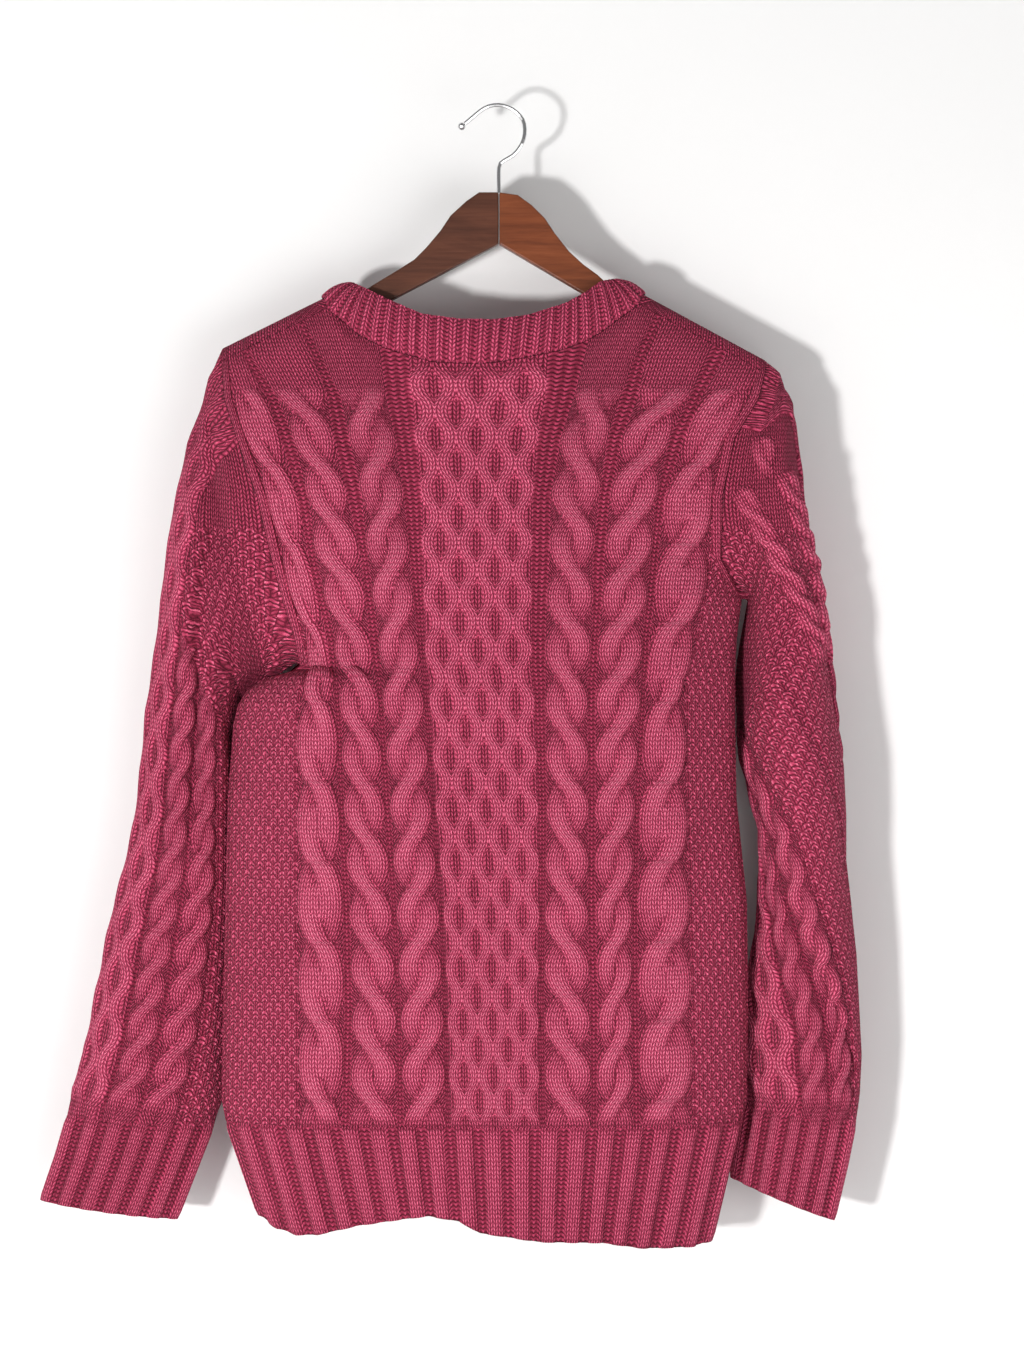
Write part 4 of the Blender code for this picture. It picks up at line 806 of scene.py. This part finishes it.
def cap_across(points, side):
    """Stitch coordinate round the cap: the angle about the middle of the slice at each height, times its
    radius. The angle starts at the side that faces the body."""
    z = points[..., 2]
    levels = np.linspace(z.min(), z.max(), 48)
    middle = []
    for level in levels:
        near = points[np.abs(z - level) < 8]
        middle.append((near[:, :2].min(axis=0) + near[:, :2].max(axis=0)) / 2)
    middle = np.array(middle)
    away = points[..., 0] - np.interp(z, levels, middle[:, 0])
    deep = points[..., 1] - np.interp(z, levels, middle[:, 1])
    return np.arctan2(deep, away if side == "right" else -away) * CAP_RADIUS / STITCH


def cap_rope(points, line):
    """A beaded rope laid on a sleeve's cap along a line of (x, z): the distance run along it, the distance
    beside it and its relief, in millimetres."""
    x, z = points[..., 0], points[..., 2]
    best, run, beside = np.full(x.shape, 1e9), np.zeros(x.shape), np.full(x.shape, 1e9)
    length = 0.0
    for (x0, z0), (x1, z1) in zip(line[:-1], line[1:]):
        span = math.hypot(x1 - x0, z1 - z0)
        t, gap = near_line(x, z, x0, z0, x1, z1)
        side = np.sign((z - z0) * (x1 - x0) - (x - x0) * (z1 - z0))
        nearer = gap < best
        best = np.where(nearer, gap, best)
        run = np.where(nearer, length + t * span, run)
        beside = np.where(nearer, gap * side, beside)
        length += span
    place = 0.5 + beside / CAP_ROPE_WIDTH
    ends = soft_step(run, 0, 6) * (1 - soft_step(run, length - 14, length))
    return run, beside, rope(place, run / ROW, CAP_ROPE_ROWS, 1, False)[0] * ROPE_RISE * 0.8 * ends


def make_sleeve(name, side, rings, cuff, folds, twist, panels):
    """Sleeve from the armhole's edge to the cuff's: plain points, then the bands' relief and stitches in
    each column, the cap's own stitches and ropes, and the cuff's ribs."""
    start = armhole(side, *panels)
    points, rib_place = sleeve_grid(rings, cuff, folds, twist, start)
    rows, columns = points.shape[:2]
    normal = normals(points, closed=True)
    inward = np.sum(normal * (points - points.mean(axis=1, keepdims=True)), axis=-1).mean() < 0
    normal = -normal if inward else normal
    cuff_first = rows - CUFF_ROWS
    axis = unit(points[SLEEVE_CAP_ROWS + 20].mean(axis=0) - points[cuff_first].mean(axis=0))
    along = points @ axis
    knit_row = (along - along[cuff_first].mean()) / ROW
    height = np.zeros((rows, columns))
    uv = np.zeros((rows - 1, columns, 4, 2))
    kinds = np.zeros((rows - 1, columns))
    corner_rows = quad_corners(knit_row, True)
    column = np.arange(columns)
    zero = np.zeros((1, 1))
    cap_uv = quad_corners(cap_across(points[:CAP_STOP + 1], side), True)
    half_round = math.pi * CAP_RADIUS / STITCH
    cap_uv += np.where(cap_uv.max(axis=-1, keepdims=True) - cap_uv > half_round, 2 * half_round, 0)
    cap_z = points[:CAP_STOP, :, 2]
    cap_rows = CAP_STOP + CAP_BLEND
    cap_fade = np.interp(np.arange(cap_rows), (CAP_STOP - 8, cap_rows), (CAP_RELIEF, 1))[:, None]
    low = 0.0
    for number, (kind, high, stitches, lean) in enumerate(SLEEVE_BANDS):
        there = (column / columns >= low - 1e-9) & (column / columns <= high + 1e-9)
        share = np.broadcast_to((column[there] / columns - low) / (high - low), (rows, there.sum()))
        relief = pattern(kind, share, knit_row[:, there], 40.0, lean, zero)[0]
        height[:, there] = np.maximum(height[:, there], relief * (0.85 if kind == "sleeve" else 1.0))
        inside = slice(int(np.ceil(low * columns - 0.5)), int(np.ceil(high * columns - 0.5)))
        left = (column[inside] / columns - low) / (high - low)
        right = ((column[inside] + 1) / columns - low) / (high - low)
        corners = np.broadcast_to(np.stack([left, right, right, left], axis=-1), (rows - 1, len(left), 4))
        uv[:, inside, :, 0] = BAND_SHIFT * number + stitch_across(
            kind, corners, corner_rows[:, inside], lean, zero, stitches, 1.0 if low == 0 else 0.0)
        kinds[:, inside] = stitch_kind(kind)
        if kind != "sleeve_comb":
            uv[:CAP_STOP, inside, :, 0] = cap_uv[:, inside]
            kinds[:CAP_STOP, inside] = np.where(cap_z[:, inside] > CAP_PLAIN_Z, KNIT, MOSS)
            height[:cap_rows, there] *= cap_fade
        low = high
    uv[..., 1] = corner_rows
    fade = np.interp(np.arange(rows), (0, 2, 40, 75, cuff_first - 5, cuff_first - 1, cuff_first),
                     (0, 0.3, 0.5, 1, 1, 0.3, 0))
    height *= fade[:, None]
    for line in CAP_ROPES[side]:
        run, beside, relief = cap_rope(points, line)
        height = np.maximum(height, relief)
        beyond = np.abs(beside) + 99 * ((run <= 0) | (run >= run.max()))
        on_rope = quad_corners(beyond, True).mean(axis=-1) < CAP_ROPE_WIDTH / 2
        for number, value in enumerate((beside / STITCH, run / ROW)):
            uv[on_rope, :, number] = quad_corners(value, True)[on_rope]
        kinds[on_rope] = KNIT
    ribs = rib_profile(rib_place) * RIB_RISE
    ends = np.interp(np.arange(CUFF_ROWS), (0, 3, CUFF_ROWS - 3, CUFF_ROWS - 1), (0.6, 1, 1, 0.7))
    height[cuff_first:] = ribs * ends[:, None]
    corner_place = quad_corners(np.broadcast_to(rib_place, (CUFF_ROWS, columns)), True)
    wrapped = np.abs(corner_place[..., 0] - corner_place[..., 1]) > CUFF_RIBS / 2
    corner_place[wrapped] += np.where(corner_place[wrapped] < CUFF_RIBS / 2, CUFF_RIBS, 0)
    uv[cuff_first:, :, :, 0], kinds[cuff_first:] = rib_quads(corner_place)
    # height / ROPE_RISE becomes the relief attribute: painted shade where the knitting is low.
    return knitted_wall(name, points + normal * height[..., None], points - normal * WALL, True, uv, kinds,
                        height / ROPE_RISE, side == "right")


# Collar

RIB_COLUMNS = 10
COLLAR_COLUMNS = COLLAR_RIBS * RIB_COLUMNS
COLLAR_ROWS = 26
NECK_MIDDLE = np.array((-11.0, 0.0, -260.0))    # a point inside the body that the collar faces away from


def resample(points, share):
    """Points, with their normals beside them, at shares of the line's length."""
    run = run_along(points[:, :3])
    return points_at(share * run[-1], run, points)


def smooth_round(vectors, axis, times):
    """Unit vectors of a ring, each averaged with its neighbours."""
    for _ in range(times):
        vectors = unit(np.roll(vectors, 1, axis=axis) + 2 * vectors + np.roll(vectors, -1, axis=axis))
    return vectors


def collar_free_edge(share):
    """Free edge all round: the tabled front, then a back that lies a little lower."""
    part = np.clip(np.where(share < 0.5, share, 1 - share) * 2, 0, 1)
    run = np.linspace(0, 1, 200)
    x = COLLAR_EDGE[0, 0] + (COLLAR_EDGE[-1, 0] - COLLAR_EDGE[0, 0]) * (1 - np.cos(math.pi * run)) / 2
    z = np.interp(x, COLLAR_EDGE[:, 0], COLLAR_EDGE[:, 1])
    bow = np.sin(math.pi * part)
    front = share < 0.5
    y = np.where(front, -24.0 * bow ** 0.6, 14.0 * bow ** 0.3)
    drop = np.where(front, 0, BACK_NECK_DROP * bow)
    return np.stack([np.interp(part, run, x), y, np.interp(part, run, z) - drop], axis=-1)


def make_collar(name, front, front_normal, back, back_normal):
    """Ribbed band round the neck, from the seam up to a rounded free edge."""
    across = slice(CORNER_LEFT, CORNER_RIGHT + 1)
    behind = slice(CORNER_RIGHT, CORNER_LEFT - 1, -1)
    half = COLLAR_COLUMNS // 2
    share = np.arange(half) / half
    front_edge = np.hstack([front[-1, across], front_normal[-1, across]])
    back_edge = np.hstack([back[-1, behind], back_normal[-1, behind]])
    crown_left = TURN_COLUMNS // 2
    loop = np.vstack([back_edge[len(back_edge) - crown_left - 1:], front_edge, back_edge[:crown_left]])
    rear = back_edge[crown_left:len(back_edge) - crown_left]
    low = np.vstack([resample(loop, share), resample(rear, share)])
    low, low_normal = low[:, :3], unit(low[:, 3:])
    top = collar_free_edge(np.arange(COLLAR_COLUMNS) / COLLAR_COLUMNS)
    low = low + unit(top - low) * SEAM
    low_normal = smooth_round(low_normal, 0, 6)
    level = np.linspace(0, 1, COLLAR_ROWS)[:, None, None]
    grid = low * (1 - level) + top * level
    normal = normals(grid, closed=True)
    flip = np.sum(normal * (grid - NECK_MIDDLE), axis=-1, keepdims=True) < 0
    normal = np.where(flip, -normal, normal)
    blend = soft_step(level, 0.0, 0.2)
    normal = smooth_round(unit(low_normal * (1 - blend) + normal * blend), 1, 8)
    part = np.arange(COLLAR_ROWS) / (COLLAR_ROWS - 1)
    bulge = 0.6 * (1 - part) + 3.4 * np.sin(math.pi * part) ** 0.8
    step = np.arange(COLLAR_COLUMNS)
    place = step / RIB_COLUMNS
    rib = np.cos(2 * math.pi * place) * 0.5 + 0.5
    strength = np.interp(part, (0, 0.06, 0.92, 1), (0.5, 1, 1, 0.5))
    height = bulge[:, None] + np.outer(strength, rib ** 0.7) * COLLAR_RISE
    outer = grid + normal * height[..., None]
    inner = grid + normal * (bulge[:, None, None] * 0.8 - WALL - 0.6)
    length = np.linalg.norm(top - low, axis=-1)
    rows = part[:, None] * length / ROW
    corner_rows = quad_corners(rows, True)
    corner_place = np.stack([step, step + 1, step + 1, step], axis=-1) / RIB_COLUMNS
    knit = np.cos(2 * math.pi * (corner_place.mean(axis=-1))) > -0.1
    across_stitch = np.where(knit[:, None], (corner_place + 0.3) / 0.6, corner_place / 0.4)
    uv = np.stack([np.broadcast_to(across_stitch, corner_rows.shape), corner_rows], axis=-1)
    kinds = np.broadcast_to(np.where(knit, KNIT, PURL), (COLLAR_ROWS - 1, COLLAR_COLUMNS))
    # relief from the ribs: painted shade in the purl grooves between the ribs.
    relief = 0.5 * np.outer(np.ones(COLLAR_ROWS), rib)
    return knitted_wall(name, outer, inner, True, uv, kinds, relief, False)


# Materials

class Val:
    """A shader value, an output socket with arithmetic that adds Math nodes."""

    def __init__(self, tree, socket):
        self.tree, self.socket = tree, socket

    def math(self, operation, *others):
        node = self.tree.nodes.new("ShaderNodeMath")
        node.operation = operation
        for slot, value in zip(node.inputs, (self, *others)):
            if isinstance(value, Val):
                self.tree.links.new(value.socket, slot)
            else:
                slot.default_value = value
        return Val(self.tree, node.outputs[0])

    def __rsub__(self, other):
        return self.math("MULTIPLY", -1.0).math("ADD", other)

    def clamp(self):
        node = self.tree.nodes.new("ShaderNodeClamp")
        self.tree.links.new(self.socket, node.inputs[0])
        return Val(self.tree, node.outputs[0])


for method, operation in (
        ("__add__", "ADD"), ("__radd__", "ADD"), ("__mul__", "MULTIPLY"), ("__rmul__", "MULTIPLY"),
        ("__sub__", "SUBTRACT"), ("__truediv__", "DIVIDE"), ("__pow__", "POWER"), ("frac", "FRACT"),
        ("floor", "FLOOR"), ("abs", "ABSOLUTE"), ("cos", "COSINE")):
    setattr(Val, method, partialmethod(Val.math, operation))


class Shader:
    """A named material with a Principled shader and one method that adds any other node."""

    def __init__(self, name, **constants):
        self.material = bpy.data.materials.new(name)
        self.material.use_nodes = True
        self.tree = self.material.node_tree
        self.principled = self.tree.nodes["Principled BSDF"]
        for label, value in constants.items():
            self.principled.inputs[label.replace("_", " ")].default_value = value

    def node(self, kind, inputs=None, output=0, **settings):
        made = self.tree.nodes.new(kind)
        for label, value in settings.items():
            setattr(made, label, value)
        for label, value in (inputs or {}).items():
            if isinstance(value, Val):
                self.tree.links.new(value.socket, made.inputs[label])
            else:
                made.inputs[label].default_value = value
        return Val(self.tree, made.outputs[output])

    def place(self):
        """Object coordinates."""
        return self.node("ShaderNodeTexCoord", output=3)

    def noise(self, vector, scale, detail=2.0, **others):
        return self.node("ShaderNodeTexNoise", {"Vector": vector, "Scale": scale, "Detail": detail, **others})

    def colour(self, tone, *stops):
        """Feeds a colour ramp of (position, colour) stops, read at the tone, to the base colour."""
        ramp = self.node("ShaderNodeValToRGB", {"Fac": tone})
        elements = ramp.socket.node.color_ramp.elements
        while len(elements) < len(stops):
            elements.new(0.5)
        for element, (position, colour) in zip(elements, stops):
            element.position, element.color = position, (*colour, 1.0)
        self.feed("Base Color", ramp)

    def bump(self, strength, distance, height):
        self.feed("Normal", self.node("ShaderNodeBump", {"Strength": strength, "Distance": distance,
                                                         "Height": height}))

    def feed(self, label, value):
        self.tree.links.new(value.socket, self.principled.inputs[label])


def yarn_material():
    """Rose yarn: knit, purl and moss stitches as bump height, with painted shade in the pits and low relief
    and a painted highlight on the raised yarn, heathered.
    """
    s = Shader("rose_yarn_knit", Roughness=0.9, Specular_IOR_Level=0.12, Sheen_Weight=0.06,
               Sheen_Roughness=0.5, Sheen_Tint=(1.0, 0.5, 0.62, 1.0))
    split = s.tree.nodes.new("ShaderNodeSeparateXYZ")
    s.tree.links.new(s.node("ShaderNodeUVMap", uv_map="stitches").socket, split.inputs[0])
    across, along = Val(s.tree, split.outputs[0]), Val(s.tree, split.outputs[1])
    kind, relief = (s.node("ShaderNodeAttribute", output=2, attribute_name=label)
                    for label in ("stitch_kind", "relief"))
    place = s.place()
    wobble = s.noise(place, 260.0) - 0.5
    tau = 2 * math.pi
    # Knit: two round legs that lean together into a V
    leg = (across.frac() - 0.5).abs()
    slope = along - leg * 1.55 + wobble * 0.25
    leg_round = 1 - ((leg - 0.25).abs() * 4) ** 2.0
    leg_long = 1 - ((slope.frac() - 0.5).abs() * 2) ** 2.2
    knit = leg_round.clamp() * (0.2 + leg_long.clamp() * 0.8)
    # Purl: a low arch across the stitch
    is_moss = (kind - 1).clamp()
    arch = along + (across * tau).cos() * 0.17 + wobble * (0.25 + is_moss * 0.8)
    purl_long = 1 - ((arch.frac() - 0.5).abs() * 2) ** 2.0
    purl = purl_long.clamp() * (0.72 + (across * tau).cos() * 0.28)
    # Moss: knit and purl in turn, as on a chequerboard
    checker = ((across.floor() + (along / 2).floor()) / 2).frac() * 2
    moss = checker * purl + (1 - checker) * knit * 0.5
    is_purl = (1 - (kind - 1).abs()).clamp()
    is_knit = (1 - kind).clamp()
    height = knit * is_knit + purl * is_purl * 0.9 + moss * is_moss * 1.4
    s.bump(1.0, 0.0018, height + s.noise(place, 900.0, 3.0, Roughness=0.7) * 0.35)
    heather = s.noise(place, 420.0, 3.0, Roughness=0.65)
    cloud = s.noise(place, 9.0)
    # Painted shade and highlight: the tone falls with low stitch height and low cable relief, so the pits
    # take the dark ramp stops and raised yarn the light ones; heather and cloud are the yarn's own uneven
    # tone.
    tone = (height * 0.62 + relief * 0.4 + heather * 0.5 + cloud * 0.12 - 0.27).clamp()
    s.colour(tone, (0.0, (0.06, 0.005, 0.013)), (0.3, (0.25, 0.022, 0.054)), (0.6, (0.54, 0.06, 0.135)),
             (0.82, (0.84, 0.13, 0.25)), (1.0, (0.97, 0.23, 0.36)))
    return s.material


def wood_material(name, dark, mid, light, angle):
    """Varnished wood: long stretched grain along the arm, fine pores, and a clear coat."""
    s = Shader(name, Coat_Weight=0.15, Coat_Roughness=0.2, Specular_IOR_Level=0.25)
    place = s.place()
    along, fine = (
        s.node("ShaderNodeMapping", {"Vector": place, "Rotation": (0.0, angle, 0.0), "Scale": scale})
        for scale in ((6.0, 60.0, 60.0), (40.0, 900.0, 900.0)))
    bands = s.noise(along, 1.6, 5.0, Roughness=0.62, Distortion=0.6)
    pores = s.noise(fine, 1.0, 3.0, Roughness=0.6)
    s.colour((bands * 0.9 + pores * 0.3 - 0.1).clamp(), (0.2, dark), (0.5, mid), (0.85, light))
    s.feed("Roughness", 0.3 + pores * 0.2)
    s.bump(0.25, 0.0004, pores)
    return s.material


def chrome_material():
    """Polished wire with a faint drawn haze."""
    s = Shader("chrome_wire", Metallic=1.0, Base_Color=(0.62, 0.62, 0.63, 1.0))
    s.feed("Roughness", 0.1 + s.noise(s.place(), 700.0) * 0.12)
    return s.material


def backdrop_material(name, see_through):
    """White paint; the wall is clear from behind so that the object's back can be seen."""
    s = Shader(name, Roughness=0.9, Specular_IOR_Level=0.1)
    s.colour(s.noise(s.place(), 1.3), (0.3, (0.86, 0.86, 0.86)), (0.7, (0.9, 0.9, 0.9)))
    if see_through:
        clear = s.tree.nodes.new("ShaderNodeBsdfTransparent")
        mix = s.tree.nodes.new("ShaderNodeMixShader")
        facing = s.tree.nodes.new("ShaderNodeNewGeometry")
        s.tree.links.new(facing.outputs["Backfacing"], mix.inputs[0])
        s.tree.links.new(s.principled.outputs[0], mix.inputs[1])
        s.tree.links.new(clear.outputs[0], mix.inputs[2])
        s.tree.links.new(mix.outputs[0], s.tree.nodes["Material Output"].inputs[0])
    return s.material


# Pieces

yarn = yarn_material()
front_obj, front, front_normal = make_body("front_panel_knit", "front")
back_obj, back, back_normal = make_body("back_panel_knit", "back")
panels = (front, front_normal, back, back_normal)
left_obj = make_sleeve("sleeve_left_knit", "left", LEFT_RINGS, LEFT_CUFF, LEFT_FOLDS, LEFT_TWIST, panels)
right_obj = make_sleeve("sleeve_right_knit", "right", RIGHT_RINGS, RIGHT_CUFF, RIGHT_FOLDS, RIGHT_TWIST,
                        panels)
collar_obj = make_collar("collar_knit", *panels)

# Piece, CAD node, flat cut (width, length) and its area
GARMENT = (
    (front_obj, "front_panel", (0.47, 0.73), 0.31), (back_obj, "back_panel", (0.44, 0.76), 0.30),
    (left_obj, "sleeve_left", (0.30, 0.64), 0.17), (right_obj, "sleeve_right", (0.30, 0.66), 0.17),
    (collar_obj, "collar", (0.58, 0.045), None),
)
for obj, node, flat, area in GARMENT:
    obj.data.materials.append(yarn)
    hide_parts(node)
    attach(obj, "root")

# Both arms get the same wood in two copies: the left arm's is darker as painted shade, the right arm's
# lighter as painted light.
wood_shaded_copy = wood_material("wood_varnished_painted_shade", (0.035, 0.011, 0.006), (0.085, 0.027, 0.014),
                      (0.15, 0.05, 0.026), 0.5)
wood_lit_copy = wood_material("wood_varnished_painted_light", (0.075, 0.018, 0.006), (0.17, 0.042, 0.013),
                         (0.27, 0.075, 0.025), -0.5)
chrome = chrome_material()
for node, material in (("hanger_left", wood_shaded_copy), ("hanger_right", wood_lit_copy), ("hanger_hook", chrome),
                       ("hook_tip", chrome)):
    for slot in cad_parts[node].material_slots:
        slot.material = material


# Studio

def plate(name, corners, material):
    """Flat staging for the studio."""
    mesh = bpy.data.meshes.new(name)
    mesh.from_pydata(corners, [], [(0, 1, 2, 3)])
    mesh.materials.append(material)
    add_object(name, mesh)


def aim(obj, place, target):
    obj.location = place
    obj.rotation_euler = (Vector(target) - Vector(place)).to_track_quat("-Z", "Y").to_euler()


def area_light(name, place, target, size, power):
    lamp = bpy.data.lights.new(name, "AREA")
    lamp.shape, lamp.size, lamp.energy, lamp.color = "DISK", size, power, LAMP_COLOUR
    aim(add_object(name, lamp), place, target)


WALL_Y = 0.064
FLOOR_Z = -1.3
LAMP_COLOUR = (1.0, 0.99, 0.98)
plate("studio_wall", [(-4, WALL_Y, FLOOR_Z), (4, WALL_Y, FLOOR_Z), (4, WALL_Y, 2), (-4, WALL_Y, 2)],
      backdrop_material("white_wall", True))
plate("studio_floor", [(-4, -5, FLOOR_Z), (4, -5, FLOOR_Z), (4, 5, FLOOR_Z), (-4, 5, FLOOR_Z)],
      backdrop_material("white_floor", False))
area_light("left_lamp", (-1.25, -2.6, -0.95), (0.0, 0.0, -0.45), 0.25, 60.0)
area_light("low_panel", (1.0, -1.8, -1.3), (0.05, 0.0, -0.7), 2.0, 32.0)
world = bpy.data.worlds.new("studio")
bpy.context.scene.world = world
world.use_nodes = True
background = world.node_tree.nodes["Background"]
background.inputs[0].default_value = (1.0, 1.0, 1.0, 1.0)
background.inputs[1].default_value = 0.27
bpy.context.scene.view_settings.view_transform = "Standard"

CAMERA_AWAY = 2.6
FRAME_HEIGHT = 1.060
CENTRE = (0.0116, 0.0, -0.447)
SENSOR = 24.0
camera = bpy.data.cameras.new("camera")
camera_obj = add_object("camera", camera)
bpy.context.scene.camera = camera_obj
camera.sensor_fit = "VERTICAL"
camera.sensor_height = SENSOR
camera.lens = SENSOR / 2 / (FRAME_HEIGHT / 2 / CAMERA_AWAY)
aim(camera_obj, (CENTRE[0], -CAMERA_AWAY, CENTRE[2]), CENTRE)
